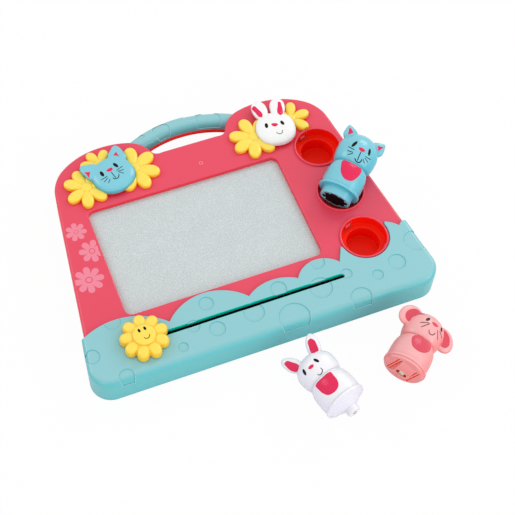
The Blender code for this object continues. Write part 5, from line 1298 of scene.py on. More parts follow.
@dataclass
class Cup:
    """Red cup with a rolled rim, a ledge, a deep lower bore and two snap tongues in its wall."""

    name: str
    x: float
    y: float
    bore: float = 0.0223
    wall: float = 0.0013
    flange: float = 0.0245
    crest: float = 0.0018
    ledge: float = 0.009
    lower: float = 0.0166
    depth: float = 0.024
    floor_round: float = 0.0012
    ledge_round: float = 0.0007
    rim_round: float = 0.0010
    tongue: float = 0.0078
    slit: float = 0.0012
    rise: float = 0.0012
    tongue_top: float = 0.0016
    tongue_foot: float = 0.0076
    angles: tuple[float, ...] = (112.0, -42.0)

    def build(self) -> None:
        """Builds and dresses the cup."""
        outer, lower_outer = self.bore + self.wall, self.lower + self.wall
        cup = lined(spun("fine_" + self.name, [
            (AXIS, -self.depth, 0), (self.lower, -self.depth, self.floor_round),
            (self.lower, -self.ledge, self.ledge_round), (self.bore, -self.ledge, self.ledge_round),
            (self.bore, self.crest, self.rim_round), (self.flange, self.crest, self.rim_round),
            (self.flange, GAP, 0), (outer, GAP, 0), (outer, -self.ledge - self.wall, 0),
            (lower_outer, -self.ledge - self.wall, 0), (lower_outer, -self.depth - self.wall, 0),
            (AXIS, -self.depth - self.wall, 0),
        ], 120, 6), 3)
        slits, ridges = Piece("slits"), Piece("ridges")
        for angle in self.angles:
            self.snap(slits, ridges, angle)
        carved(cup, lined(slits.raw(), 3), Carving.CUT)
        carved(cup, lined(ridges.raw(), 3), Carving.JOIN)
        # The rim keeps the frame's pink; the inside keeps the deeper red painted for light bouncing in the cup
        repainted(cup, 2, lambda m: (np.hypot(m[:, 0], m[:, 1]) > self.bore + 0.0002) & (m[:, 2] > 0.0))
        cup.data.transform(Matrix.Translation((self.x, self.y, BOARD_TOP)))
        paints = [Paint.CUP_RED, Paint.SLIT_RED, Paint.PINK_RED]
        dress(cup, "board", paints, [self.name], smooth=32.0)

    def snap(self, slits: Piece, ridges: Piece, angle: float) -> None:
        """A U-shaped slit round a tongue and the ridge on the tongue's free end."""
        reach, deep, half = self.bore + self.wall / 2, self.wall / 2 + OVER / 2, self.tongue / 2
        low, high, wide = -self.tongue_foot, -self.tongue_top, self.tongue / 2 + self.slit
        loop = ((-wide, high), (-wide, low - self.slit), (wide, low - self.slit), (wide, high), (half, high),
                (half, low), (-half, low), (-half, high))
        turn = np.array(Matrix.Rotation(math.radians(angle), 3, "Z"))
        rows = np.array([[(reach + side * deep, y, z) for y, z in loop] for side in (-1, 1)])
        # The slits take slot 1, painted dark red as their shade
        slits.shell(rows @ turn.T, slot=1)
        face, middle, inset = self.bore - self.rise, (low + high) / 2, half - self.slit
        wedge = ((reach, low + GAP), (face, low + self.rise), (face, middle), (reach, middle + self.rise))
        rows = np.array([[(x, side * inset, z) for x, z in wedge] for side in (-1, 1)])
        # The ridges take slot 2, the paler frame pink, as a painted highlight
        ridges.shell(rows @ turn.T, slot=2)


# Badges


@dataclass(frozen=True)
class Blossom:
    """A badge flower: its centre, reach and petal angles in degrees."""

    x: float
    y: float
    reach: float
    angles: tuple[float, ...]
    disc: float = 0.0056
    half: float = 0.0065
    side: float = 0.0022
    crown: float = 0.0051
    step: float = 0.00012
    disc_side: float = 0.0040
    disc_crown: float = 0.0052

    # Reach that the half width is given for, root as a share of the disc, crest as a share of the reach
    USUAL, ROOT, CREST, PINCH = 0.0255, 0.35, 0.66, 0.22

    def petals(self, piece: Piece, low: float) -> None:
        """Adds the plump petals, every other one a little lower, and the round middle."""
        shift = np.array((self.x, self.y, 0.0))
        for index, angle in enumerate(self.angles):
            half = self.half * self.reach / self.USUAL
            shape = petal(self.reach, self.disc * self.ROOT, half, self.PINCH, angle, 44)
            middle = turned(np.array([(self.reach * self.CREST, 0.0)]), angle)[0]
            top = low + self.crown - self.step * (index % 2)
            piece.shell(domed(shape, middle, low, low + self.side, top, squareness=0.55, steps=10) + shift)
        disc = circle(self.disc, 48)
        side, top = low + self.disc_side, low + self.disc_crown
        piece.shell(domed(disc, (0.0, 0.0), low, side, top, squareness=0.42, steps=8) + shift)


@dataclass
class Badge:
    """An animal's head on a bed of flowers."""

    name: str
    place: tuple[float, float]
    half: tuple[float, float]
    tilt: float
    paint: Paint
    slot: str
    blossoms: tuple[Blossom, ...]
    flowers: str
    power: float = 2.25
    foot: float = BOARD_TOP + 0.0026
    side: float = BOARD_TOP + 0.0058
    crown: float = BOARD_TOP + 0.0112
    ear_side: float = 0.0018
    ear_drop: float = 0.0013
    bed_foot: float = BOARD_TOP + 0.0003
    plate: float = 0.002
    plate_inset: float = 0.0022
    seat: float = 0.0021
    cup_rim: float = 0.0248
    seat_height: float = 0.012

    INKS: ClassVar[tuple[Paint, ...]] = ()
    MARKS: ClassVar[tuple[Mark, ...]] = ()

    def seated(self, points: Rows) -> Rows:
        """Points of the badge's own frame carried to the board."""
        return turned(points, self.tilt, *self.place)

    def local(self, points: Any) -> Rows:
        """Badge points, given in millimetres, carried to the board."""
        return self.seated(millimetres(points))

    def outline(self, margin: float = 0.0, steps: int = 128) -> Rows:
        """The head's outline on the board."""
        return self.seated(superellipse(self.half[0] + margin, self.half[1] + margin, self.power, steps))

    def ears(self) -> list[Rows]:
        """Outlines of the two ears in the badge's own frame, in metres."""
        raise NotImplementedError

    def build(self) -> None:
        """Builds and dresses the badge and its flowers."""
        rows = domed(self.outline(), self.place, self.foot, self.side, self.crown, squareness=0.50, steps=22)
        head = Piece("fine_" + self.name).shell(rows)
        for ear in self.ears():
            shape = self.seated(ear)
            side, top = self.side + self.ear_side, self.crown - self.ear_drop
            head.shell(domed(shape, shape.mean(0), self.side, side, top, squareness=0.40, steps=10))
        skin = melted(head.raw(), voxel=0.00045, rounds=5)
        drawing = Drawing(self.name + "_face", Facing.UP, self.crown + OVER)
        printed = drawing.marked(self.MARKS, self.local).press(skin)
        dress(skin, "board", [self.paint], [self.name], smooth=60.0)
        dress(printed, "board", self.INKS, (), smooth=60.0)
        self.bed()

    def bed(self) -> None:
        """The flowers under the head."""
        low, high = self.bed_foot, self.bed_foot + self.seat_height
        piece = Piece("fine_" + self.flowers)
        piece.shell(upright(self.outline(-self.plate_inset, 96), low, low + self.plate))
        for blossom in self.blossoms:
            blossom.petals(piece, low)
        flowers = piece.raw()
        carved(flowers, Piece("head_seat").shell(upright(self.outline(GAP), low + self.seat, high)), Carving.CUT, True)
        rim = upright(circle(self.cup_rim, 96, CUP_X, CUP_ROWS[0]), low - self.plate, high)
        carved(flowers, Piece("cup_seat").shell(rim), Carving.CUT, True)
        dress(flowers, "board", [Paint.YELLOW], [self.flowers], smooth=40.0)


class CatBadge(Badge):
    """Blue cat's head."""

    EAR = ((0.28, 0.80), (0.62, 0.30), (1.02, 0.38), (1.10, 0.80), (1.09, 1.12), (1.00, 1.30), (0.88, 1.32),
           (0.66, 1.20), (0.40, 1.04))
    INKS = (Paint.BLACK, Paint.HOT_PINK, Paint.DARK_TEAL)
    MARKS = (
        Eyes(0, (((-9.8, 7.6), (-10.6, 1.6)), ((6.3, 7.7), (7.1, 1.7))), 0.0017, 0.0004),
        Fill(1, ((-4.7, 4.9), (-1.2, 5.6), (2.2, 4.4), (1.2, 2.2), (-1.1, 1.7), (-3.8, 2.7)), 5, 5),
        Strokes(2, [((-1.6, 0.9), (-2.2, -3.7), (-2.1, -8.0))], 0.0008),
        Strokes(2, [((-4.5, -5.6), (-4.1, -7.9), (-2.0, -9.1), (0.9, -8.3), (2.9, -5.9))], 0.0009),
        Strokes(2, (
            ((-7.7, -0.8), (-11.5, -1.0), (-15.2, -0.5)), ((-8.2, -2.7), (-11.3, -3.9), (-14.3, -4.6)),
            ((-7.6, -5.5), (-9.8, -7.0), (-11.8, -8.0)), ((3.4, -1.1), (7.5, -0.6), (11.6, -0.6)),
            ((3.7, -2.4), (7.0, -3.7), (10.3, -4.6)), ((4.0, -3.6), (5.8, -5.9), (7.3, -8.3)),
        ), 0.0007),
        Fill(1, swollen(((-22.0, 17.3), (-18.1, 14.3), (-22.1, 10.0))), 5, 6),
        Fill(1, swollen(((16.9, 18.2), (13.3, 16.6), (16.6, 12.3))), 5, 6),
    )

    def ears(self) -> list[Rows]:
        """Rounded triangles that rise from the head."""
        right = spline(np.array(self.EAR) * np.array(self.half), 8, True)
        return [right, right[::-1] * np.array((-1.0, 1.0))]


class RabbitBadge(Badge):
    """White rabbit's head with long ears."""

    # Foot and tip of each ear in millimetres, and half its width in metres
    EARS = (((-9.6, 12.0), (-12.1, 36.6)), ((5.8, 12.0), (9.9, 36.4)))
    HALF = 0.0080
    INKS = (Paint.BLACK, Paint.HOT_PINK, Paint.GREY)
    MARKS = (
        Eyes(0, (((-9.3, 4.6), (-9.9, -0.9)), ((6.5, 4.3), (7.9, -0.6))), 0.0017, 0.0004),
        Fill(1, ((-4.4, 2.4), (-0.8, 3.2), (2.4, 1.1), (0.9, -0.7), (-1.8, -1.1), (-3.8, 0.4)), 5, 5),
        Strokes(2, [((-1.8, -8.3), (-0.5, -10.4), (1.9, -11.2), (4.4, -9.6), (4.8, -6.9))], 0.0007),
        Fill(1, ((-18.0, 28.9), (-15.8, 30.1), (-12.4, 25.0), (-9.7, 17.1), (-11.0, 14.6), (-12.9, 15.0),
                 (-16.2, 21.0)), 7, 6),
        Fill(1, ((11.8, 30.2), (12.5, 24.9), (9.7, 13.1), (8.0, 12.4), (6.6, 14.4), (8.9, 26.4), (10.2, 30.0)), 7, 6),
    )

    def ears(self) -> list[Rows]:
        """Two long rounded leaves."""
        found = []
        t = np.arange(64) * (math.tau / 64)
        width = self.HALF * np.sign(np.sin(t)) * np.abs(np.sin(t)) ** 0.9 * (1.0 + 0.10 * np.cos(t))
        for foot, tip in millimetres(self.EARS):
            length = float(np.linalg.norm(tip - foot))
            along = (tip - foot) / length
            across = np.array((along[1], -along[0]))
            found.append((foot + tip) / 2.0 + np.cos(t)[:, None] * length / 2.0 * along - width[:, None] * across)
        return found


# Eraser knob


@dataclass
class Knob:
    """Yellow flower that slides the eraser: nine plump petals round a raised face."""

    x: float = -0.116802
    y: float = -0.0927924
    reach: float = 0.0234
    height: float = 0.0112
    petals: int = 9
    first: float = 88.0
    petal_root: float = 0.0060
    petal_half: float = 0.0058
    petal_side: float = 0.0046
    petal_crown: float = 0.0093
    step: float = 0.0001
    hub: float = 0.0135
    hub_side: float = 0.0066
    hub_crown: float = 0.0086
    face: float = 0.0107
    face_foot: float = 0.004
    face_side: float = 0.0097

    # A petal's crest as a share of the reach, and its pinch
    CREST, PINCH = 0.70, 0.24
    MARKS = (
        Eyes(0, (((-3.6, 6.6), (-3.1, 3.0)), ((2.0, 7.2), (2.7, 3.6))), 0.0012, 0.0002),
        Strokes(1, [((-1.4, -3.3), (-0.4, -4.7), (1.0, -5.3), (3.4, -4.4), (4.7, -1.8))], 0.0007),
    )

    def local(self, points: Any) -> Rows:
        """Knob points, given in millimetres, carried to the board."""
        return millimetres(points) + np.array((self.x, self.y))

    def build(self) -> None:
        """Builds and dresses the knob and its face."""
        low, middle = SKIRT_TOP + GAP, (0.0, 0.0)
        piece = Piece("fine_knob")
        for k in range(self.petals):
            angle = self.first + 360.0 / self.petals * k
            shape = petal(self.reach, self.petal_root, self.petal_half, self.PINCH, angle, 48)
            crest = turned(np.array([(self.reach * self.CREST, 0.0)]), angle)[0]
            top = low + self.petal_crown - self.step * (k % 2)
            piece.shell(domed(shape, crest, low, low + self.petal_side, top, squareness=0.52, steps=12))
        hub, side, top = circle(self.hub, 72), low + self.hub_side, low + self.hub_crown
        piece.shell(domed(hub, middle, low, side, top, squareness=0.5, steps=8))
        knob = melted(piece.raw(), voxel=0.0004, rounds=3)
        foot, side = low + self.face_foot, low + self.face_side
        face, top = circle(self.face, 96), low + self.height
        rows = domed(face, middle, foot, side, top, squareness=0.34, steps=10)
        disc = Piece("knob_disc").shell(rows).raw()
        for item in (knob, disc):
            item.data.transform(Matrix.Translation((self.x, self.y, 0.0)))
        drawing = Drawing("knob_face", Facing.UP, low + self.height + OVER)
        printed = drawing.marked(self.MARKS, self.local).press(disc)
        dress(knob, "eraser", [Paint.YELLOW], ["flower_knob"], smooth=60.0)
        dress(disc, "eraser", [Paint.YELLOW], [], smooth=60.0)
        dress(printed, "eraser", [Paint.BLACK, Paint.BROWN], [], smooth=60.0)


# Stampers


@dataclass(frozen=True)
class Stand:
    """Place of a stamper: the middle of its ring's lower face, its heading, lean and own turn in degrees."""

    place: tuple[float, float, float]
    heading: float
    lean: float
    turn: float

    def matrix(self) -> Matrix:
        """The matrix from the stamper's own upright frame to the board's."""
        heading = Matrix.Rotation(math.radians(self.heading - 90.0), 4, "Z")
        lean = Matrix.Rotation(math.radians(self.lean - 90.0), 4, "X")
        turn = Matrix.Rotation(math.radians(self.turn), 4, "Z")
        return Matrix.Translation(self.place) @ heading @ lean @ turn


@dataclass
class Stamper:
    """An animal on a barrel: head with ears, barrel, ring and base."""

    key: str
    body: str
    stand: Stand
    head: tuple[float, float, float, float]
    paint: Paint
    slot: str
    ring: float = 0.0212
    ring_height: float = 0.0028
    ring_round: float = 0.0008
    neck: float = 0.029
    neck_round: float = 0.0004
    neck_wall: float = 0.004
    thick: float = 0.0068
    forward: float = 0.003
    print_start: float = -0.04

    # The barrel's side in shares of the ring's radius and the neck's height
    BARREL = ((0.948, 0.106), (0.960, 0.210), (0.966, 0.450), (0.944, 0.690), (0.894, 0.845), (0.828, 0.950),
              (0.778, 1.000))
    INKS: ClassVar[tuple[Paint, ...]] = ()
    FACE: ClassVar[tuple[Mark, ...]] = ()
    BELLY: ClassVar[tuple[Mark, ...]] = ()

    def carried(self, item: bpy.types.Object) -> bpy.types.Object:
        """Carries a finished piece from the stamper's own frame to its place."""
        item.data.transform(self.stand.matrix())
        return item

    def head_rows(self) -> Rows:
        """Level ovals of the head: f = 0.8 + 0.2 sqrt(1 - s^2.4) below the widest level and cos a above it."""
        half_x, half_y, top, wide = self.head
        low = self.neck - self.neck_round
        z = np.linspace(low, wide, 17)
        s = np.clip((wide - z) / (wide - low), 0.0, 1.0)
        a = np.linspace(0.0, math.pi / 2 - 0.004, 17)[1:]
        share = np.concatenate([0.8 + 0.2 * np.sqrt(1.0 - s**2.4), np.cos(a)])[:, None]
        level = np.concatenate([z, wide + (top - wide) * np.sin(a)])[:, None]
        t = np.arange(72) * (math.tau / 72)
        x, y = share * half_x * np.cos(t), share * half_y * np.sin(t)
        return np.stack([x, y, np.broadcast_to(level, x.shape)], -1)

    def ear_rows(self, outline: Rows, centre: Rows) -> Rows:
        """A thick leaf: shares cos(a)^0.5 of its outline at depth half sin a, lying in an upright plane."""
        rings = []
        for angle in np.linspace(-math.pi / 2 + 0.01, math.pi / 2 - 0.01, 15):
            flat = centre + (outline - centre) * math.cos(angle) ** 0.5
            depth = self.thick / 2 * math.sin(angle) - self.forward
            rings.append(np.stack([flat[:, 0], np.full(len(flat), depth), flat[:, 1]], -1))
        return np.stack(rings)

    def ears(self) -> list[tuple[Rows, Rows]]:
        """Outline and middle of each ear, in the plane of x and height."""
        raise NotImplementedError

    def base(self) -> None:
        """Builds the ring and what lies below it."""
        raise NotImplementedError

    def barrel(self) -> bpy.types.Object:
        """Smooth barrel from the ring to the neck."""
        table = np.array(self.BARREL) * np.array((self.ring, self.neck))
        table[0, 1] = self.ring_height + GAP
        side = spline(table, 8)
        edge = side[-1, 0]
        side[-1, 1] -= self.neck_round
        crown = np.array([(edge - self.neck_round, self.neck), (edge - self.neck_wall, self.neck), (AXIS, self.neck)])
        foot = np.array([(AXIS, self.ring_height + GAP)])
        return Piece(f"fine_{self.key}_body").shell(lathe(np.concatenate([foot, side, crown]), 112)).raw()

    def build(self) -> None:
        """Builds and dresses the whole stamper."""
        head = Piece(f"fine_{self.key}_head").shell(self.head_rows())
        for outline, centre in self.ears():
            head.shell(self.ear_rows(outline, centre))
        skin = melted(head.raw(), voxel=0.0005, rounds=9)
        barrel = self.barrel()
        face = Drawing(f"{self.key}_face", Facing.FRONT, self.print_start).marked(self.FACE, millimetres)
        belly = Drawing(f"{self.key}_belly", Facing.FRONT, self.print_start).marked(self.BELLY, millimetres)
        for item, paints, nodes in (
            (skin, [self.paint], [f"{self.key}_head"]), (barrel, [self.paint], [f"{self.key}_body"]),
            (face.press(skin), self.INKS, []), (belly.press(barrel), self.INKS, []),
        ):
            dress(self.carried(item), self.body, paints, nodes, smooth=60.0)
        self.base()

    def turned_base(self, corners: list[tuple[float, float, float]]) -> bpy.types.Object:
        """The base: corners of the part below the ring, from the axis outwards, then the ring with its flat top."""
        ring = [(self.ring, 0.0, self.ring_round), (self.ring, self.ring_height, self.ring_round),
                (AXIS, self.ring_height, 0)]
        return spun(f"fine_{self.key}_base", corners + ring, 112)


class LeafEared(Stamper):
    """A stamper whose ears are leaves between a foot and a tip, left and right."""

    FEET = ((-0.0104, 0.0508), (0.0104, 0.0508))
    TIPS = ((-0.0209, 0.0676), (0.0209, 0.0676))
    HALF = 0.0077
    TAPER = 0.58

    def ears(self) -> list[tuple[Rows, Rows]]:
        """Leaves: along l/2 (1 + sin t), across half cos t (1 - taper sin(t)^1.5) above the middle."""
        found = []
        t = np.arange(56) * (math.tau / 56)
        width = self.HALF * np.cos(t) * (1.0 - self.TAPER * np.maximum(0.0, np.sin(t)) ** 1.5)
        for foot, tip in zip(np.array(self.FEET), np.array(self.TIPS)):
            length = float(np.linalg.norm(tip - foot))
            along = (tip - foot) / length
            across = np.array((along[1], -along[0]))
            outline = foot + (length / 2 * (1.0 + np.sin(t)))[:, None] * along + width[:, None] * across
            found.append((outline, (foot + tip) / 2))
        return found


class CatStamper(LeafEared):
    """Blue cat whose sleeve carries a flower-shaped magnet stamp."""

    INKS = (Paint.BLACK, Paint.HOT_PINK, Paint.DARK_TEAL)
    FACE = (
        Eyes(0, (((-8.8, 50.1), (-11.2, 42.9)), ((5.8, 49.5), (7.7, 42.9))), 0.0014, 0.0003),
        Fill(1, ((-4.9, 44.8), (-1.3, 46.0), (2.2, 44.8), (0.9, 42.6), (-1.2, 42.0), (-3.6, 42.8)), 8),
        Strokes(2, [((-1.1, 41.7), (-1.0, 36.9), (-0.4, 32.2))], 0.0009),
        Strokes(2, [((-3.9, 33.2), (-1.3, 31.3), (1.9, 31.4), (3.2, 34.3), (2.8, 35.7))], 0.0011),
        Strokes(2, (
            ((-14.4, 41.9), (-11.0, 41.1), (-7.7, 40.6)), ((-13.5, 37.7), (-10.6, 37.5), (-7.9, 37.6)),
            ((-11.2, 33.7), (-9.2, 35.2), (-7.4, 37.0)), ((4.7, 40.0), (8.2, 40.2), (11.7, 40.8)),
            ((5.2, 38.4), (7.8, 37.4), (10.3, 36.7)), ((4.2, 36.6), (5.9, 34.8), (7.5, 33.3)),
        ), 0.0008),
        Fill(1, ((-19.9, 64.0), (-19.3, 60.0), (-18.1, 56.6), (-16.2, 58.6), (-14.7, 61.1), (-17.2, 62.8)), 5),
        Fill(1, ((14.3, 61.8), (16.8, 62.6), (19.3, 63.4), (18.2, 60.4), (16.7, 57.4), (15.3, 59.4)), 5),
    )
    BELLY = (
        Fill(1, ((-12.4, 26.8), (-11.6, 27.6), (-7.0, 27.7), (-2.3, 27.75), (3.0, 27.7), (7.2, 27.5), (8.1, 26.5),
                 (8.2, 21.0), (6.7, 15.6), (3.3, 10.0), (-3.6, 8.2), (-8.6, 11.5), (-12.4, 20.6)), 12),
    )
    # Radius, foot, window floor and window reach of the sleeve, then the magnet's inset, top, side and face
    SLEEVE, FOOT, FLOOR, WINDOW = 0.0158, -0.0085, -0.0055, 0.0138
    INSET, TOP, SIDE, FRONT = 0.0004, -0.0056, -0.0081, -0.0083

    def base(self) -> None:
        """Ring, sleeve with a petalled window and the black magnet behind it."""
        window = flower_outline(self.WINDOW, self.WINDOW * 0.78, 22.5 + np.arange(8) * 45.0, 22.5, 240)
        base = self.turned_base([(AXIS, self.FOOT, 0), (self.SLEEVE, self.FOOT, 0.0007), (self.SLEEVE, 0.0, 0.0004)])
        carved(base, Piece("cat_window").shell(upright(window, self.FOOT - OVER, self.FLOOR)), Carving.CUT)
        inside, middle = moved(window, -self.INSET), (0.0, 0.0)
        rows = domed(inside, middle, self.TOP, self.SIDE, self.FRONT, squareness=0.06, steps=4)
        magnet = Piece("fine_cat_magnet").shell(rows).raw()
        dress(self.carried(base), self.body, [self.paint], ["cat_base"], smooth=40.0)
        dress(self.carried(magnet), self.body, [Paint.MAGNET], ["cat_stamp_magnet"], smooth=40.0)


class RabbitPen(LeafEared):
    """White rabbit whose cone ends in a magnetic pen tip."""

    FEET = ((-0.0082, 0.0485), (0.0078, 0.0490))
    TIPS = ((-0.0196, 0.0710), (0.0170, 0.0725))
    HALF = 0.0070
    TAPER = 0.12
    INKS = (Paint.BLACK, Paint.HOT_PINK, Paint.GREY)
    FACE = (
        Eyes(0, (((5.2, 45.3), (7.2, 40.4)), ((-8.5, 45.6), (-9.8, 39.8))), 0.0014, 0.0003),
        Fill(1, ((-4.3, 41.8), (-1.3, 43.1), (1.8, 41.4), (0.6, 40.0), (-1.2, 39.8), (-3.2, 40.3)), 5),
        Strokes(2, [((4.5, 35.0), (4.6, 32.3), (2.3, 30.7), (-0.5, 30.7), (-1.5, 32.5))], 0.0007),
        Fill(1, ((-18.4, 66.2), (-15.6, 66.4), (-12.4, 62.0), (-9.6, 54.1), (-11.4, 51.4), (-14.5, 51.6),
                 (-18.3, 56.6), (-19.1, 62.3)), 8),
        Fill(1, ((15.0, 66.6), (11.9, 66.7), (8.9, 61.7), (7.0, 54.3), (9.2, 51.8), (12.2, 51.8), (15.6, 57.8),
                 (16.7, 63.4)), 8),
    )
    BELLY = (
        Fill(1, ((-10.0, 25.6), (-9.7, 26.6), (-8.8, 26.9), (-0.6, 27.0), (7.6, 26.9), (8.6, 26.6), (8.9, 25.6),
                 (9.0, 21.0), (8.6, 15.2), (5.9, 10.2), (2.0, 8.4), (-2.2, 8.5), (-6.2, 10.2), (-9.2, 15.6),
                 (-9.9, 21.0)), 12),
    )
    # Radius and level of the boss's face and the cone's foot, then the cone's greatest radius
    BOSS, FACE_LEVEL, CONE_FOOT, CONE = 0.0066, -0.0126, -0.0065, 0.0196
    # Radius of the metal tip and of its point, levels of its point, shoulder and root, and floor of its bore
    TIP, POINT, POINT_LEVEL, SHOULDER, TIP_ROOT, BORE = 0.0017, 0.00125, -0.0137, -0.0128, -0.0046, -0.0080
    # Radius and place of the vents, and the levels that they run between
    VENT, VENT_X, VENT_LOW, VENT_HIGH = 0.0006, 0.0178, -0.01, 0.0006

    def base(self) -> None:
        """Ring, shallow cone, boss with the metal tip, and two small vents."""
        base = self.turned_base([
            (AXIS, self.FACE_LEVEL, 0), (self.BOSS, self.FACE_LEVEL, 0.0016), (self.BOSS, self.CONE_FOOT, 0.0006),
            (self.CONE, 0.0, 0.0006),
        ])
        cuts = Piece("rabbit_cuts").shell(upright(circle(self.TIP + GAP, 40), self.FACE_LEVEL - OVER, self.BORE))
        for side in (-1.0, 1.0):
            cuts.shell(upright(circle(self.VENT, 20, side * self.VENT_X, 0.0), self.VENT_LOW, self.VENT_HIGH))
        carved(base, cuts, Carving.CUT)
        tip = spun("fine_rabbit_tip", [
            (AXIS, self.POINT_LEVEL, 0), (self.POINT, self.POINT_LEVEL, 0.0007), (self.TIP, self.SHOULDER, 0.0002),
            (self.TIP, self.TIP_ROOT, 0), (AXIS, self.TIP_ROOT, 0),
        ], 40)
        dress(self.carried(base), self.body, [self.paint], ["rabbit_base"], smooth=40.0)
        dress(self.carried(tip), self.body, [Paint.TIP], ["rabbit_tip"], smooth=40.0)


class MouseStamper(Stamper):
    """Pink mouse whose vaulted base shows a small magnet roller between two pairs of slits."""

    INNER_EAR = ((-24.3, 41.1), (-19.6, 39.9), (-18.6, 46.0), (-15.8, 49.6), (-11.2, 53.6), (-14.8, 56.2),
                 (-19.5, 55.6), (-24.4, 51.0), (-26.2, 45.6))
    INKS = (Paint.BLACK, Paint.ROSE, Paint.DARK_ROSE, Paint.BROWN)
    FACE = (
        Eyes(0, (((-8.6, 45.6), (-6.6, 49.8)), ((8.5, 50.6), (9.2, 46.1))), 0.0014, 0.0003),
        Fill(1, ((-3.2, 47.2), (0.2, 48.6), (4.0, 47.1), (2.4, 45.3), (0.1, 44.9), (-2.0, 45.5)), 5),
        Strokes(2, [((-2.6, 38.3), (-0.7, 35.6), (2.6, 35.8), (4.2, 38.9), (4.3, 39.8))], 0.0008),
        Strokes(3, (
            ((-12.4, 40.8), (-8.7, 42.9), (-5.0, 44.6)), ((-9.8, 36.7), (-7.2, 40.5), (-4.4, 44.1)),
            ((4.7, 43.6), (7.6, 40.3), (10.2, 36.5)), ((7.4, 44.8), (10.7, 43.6), (14.1, 42.0)),
        ), 0.00075),
        Fill(1, INNER_EAR, 10),
        Fill(1, mirrored(INNER_EAR), 10),
    )
    BELLY = (
        Fill(1, ((-11.5, 18.1), (-11.6, 25.2), (-8.4, 28.2), (-0.6, 28.4), (7.2, 28.0), (8.2, 22.0), (4.9, 15.2),
                 (-3.0, 11.6), (-8.6, 13.2)), 12),
    )
    # Middle of the right ear, its two half widths and its lean in degrees
    EAR, EAR_OUT, EAR_ROUND, EAR_LEAN = (0.0197, 0.0480), 0.0106, 0.0130, 42.0
    # Radius and foot of the plug; lowest level, radius, half width, reach and top of the vault
    PLUG, PLUG_FOOT = 0.0198, -0.0026
    CREST, VAULT, HALF, REACH, VAULT_TOP = -0.0068, 0.020702, 0.0078, 0.0125, -0.0010
    # Distance from the vault's ends and inset of each of its outer sections
    STEPS = ((0.0, 0.0008), (0.0002, 0.0003), (0.0008, 0.0))
    # Half sizes of the oval mouth, middles of the slits and their half width
    MOUTH, SLITS, SLIT = (0.0060, 0.0035), (0.0104, 0.00125), 0.0008
    # Level that the cutting tools start from, and the floors of the mouth and of the slits
    BELOW, MOUTH_FLOOR, SLIT_FLOOR = -0.012, -0.0030, -0.0017
    # Radius, half length and depth of the roller below the vault
    ROLLER, ROLLER_HALF, PROUD = 0.0033, 0.0027, 0.0005

    def ears(self) -> list[tuple[Rows, Rows]]:
        """Ovals beside the head, longer around the head than away from it."""
        oval = circle(1.0, 64) * np.array((self.EAR_OUT, self.EAR_ROUND))
        right = turned(oval, self.EAR_LEAN, *self.EAR)
        return [(right * np.array((s, 1.0)), np.array((s * self.EAR[0], self.EAR[1]))) for s in (-1.0, 1.0)]

    def vault(self) -> Rows:
        """Sections of the vault from its left end to its right, with their flat tops."""
        limit = math.asin(self.REACH / self.VAULT)
        angles = np.linspace(-limit, limit, 25)
        stations = [(end - self.HALF, inset) for end, inset in self.STEPS]
        stations += [(self.HALF - end, inset) for end, inset in reversed(self.STEPS)]
        rings = []
        for x, inset in stations:
            radius = self.VAULT - inset
            y, z = radius * np.sin(angles), self.CREST + self.VAULT - radius * np.cos(angles)
            top = np.array([(x, self.REACH, self.VAULT_TOP), (x, -self.REACH, self.VAULT_TOP)])
            rings.append(np.concatenate([np.stack([np.full(len(y), x), y, z], -1), top]))
        return np.stack(rings)

    def base(self) -> None:
        """Ring and plug, vault with an oval mouth, slits and roller; the axle stays as packed."""
        foot, below = self.PLUG_FOOT, self.BELOW
        base = self.turned_base([(AXIS, foot, 0), (self.PLUG, foot, 0.0014), (self.PLUG, 0.0, 0.0003)])
        lined(carved(base, Piece("vault").shell(self.vault()), Carving.JOIN))
        mouth = circle(1.0, 48) * np.array(self.MOUTH)
        # Slot 1 of the mouth and slits takes the painted orange-red glow of light through the plastic
        cuts = Piece("mouse_cuts").shell(upright(mouth, below, self.MOUTH_FLOOR), slot=1)
        for side in (-1.0, 1.0):
            for off in (-1.0, 1.0):
                x = side * self.SLITS[0] + off * self.SLITS[1]
                slit = rounded_box(x, 0.0, self.SLIT, self.REACH, GAP, 3)
                cuts.shell(upright(slit, below, self.SLIT_FLOOR), slot=1)
        carved(base, lined(cuts.raw()), Carving.CUT)
        axis, half, radius = self.CREST + self.ROLLER - self.PROUD, self.ROLLER_HALF, self.ROLLER
        profile = softened([(AXIS, -half, 0), (radius, -half, 0.0005), (radius, half, 0.0005), (AXIS, half, 0)])
        roller = lathe(profile, 48)
        roller = roller[..., [2, 0, 1]] + np.array((0.0, 0.0, axis))
        roll = self.carried(Piece("fine_mouse_roller").shell(roller).raw())
        dress(self.carried(base), self.body, [self.paint, Paint.EMBER], ["mouse_base"], smooth=36.0)
        dress(roll, "mouse_roller_body", [Paint.TIP], ["mouse_magnet_roller"], smooth=40.0)


# Stage


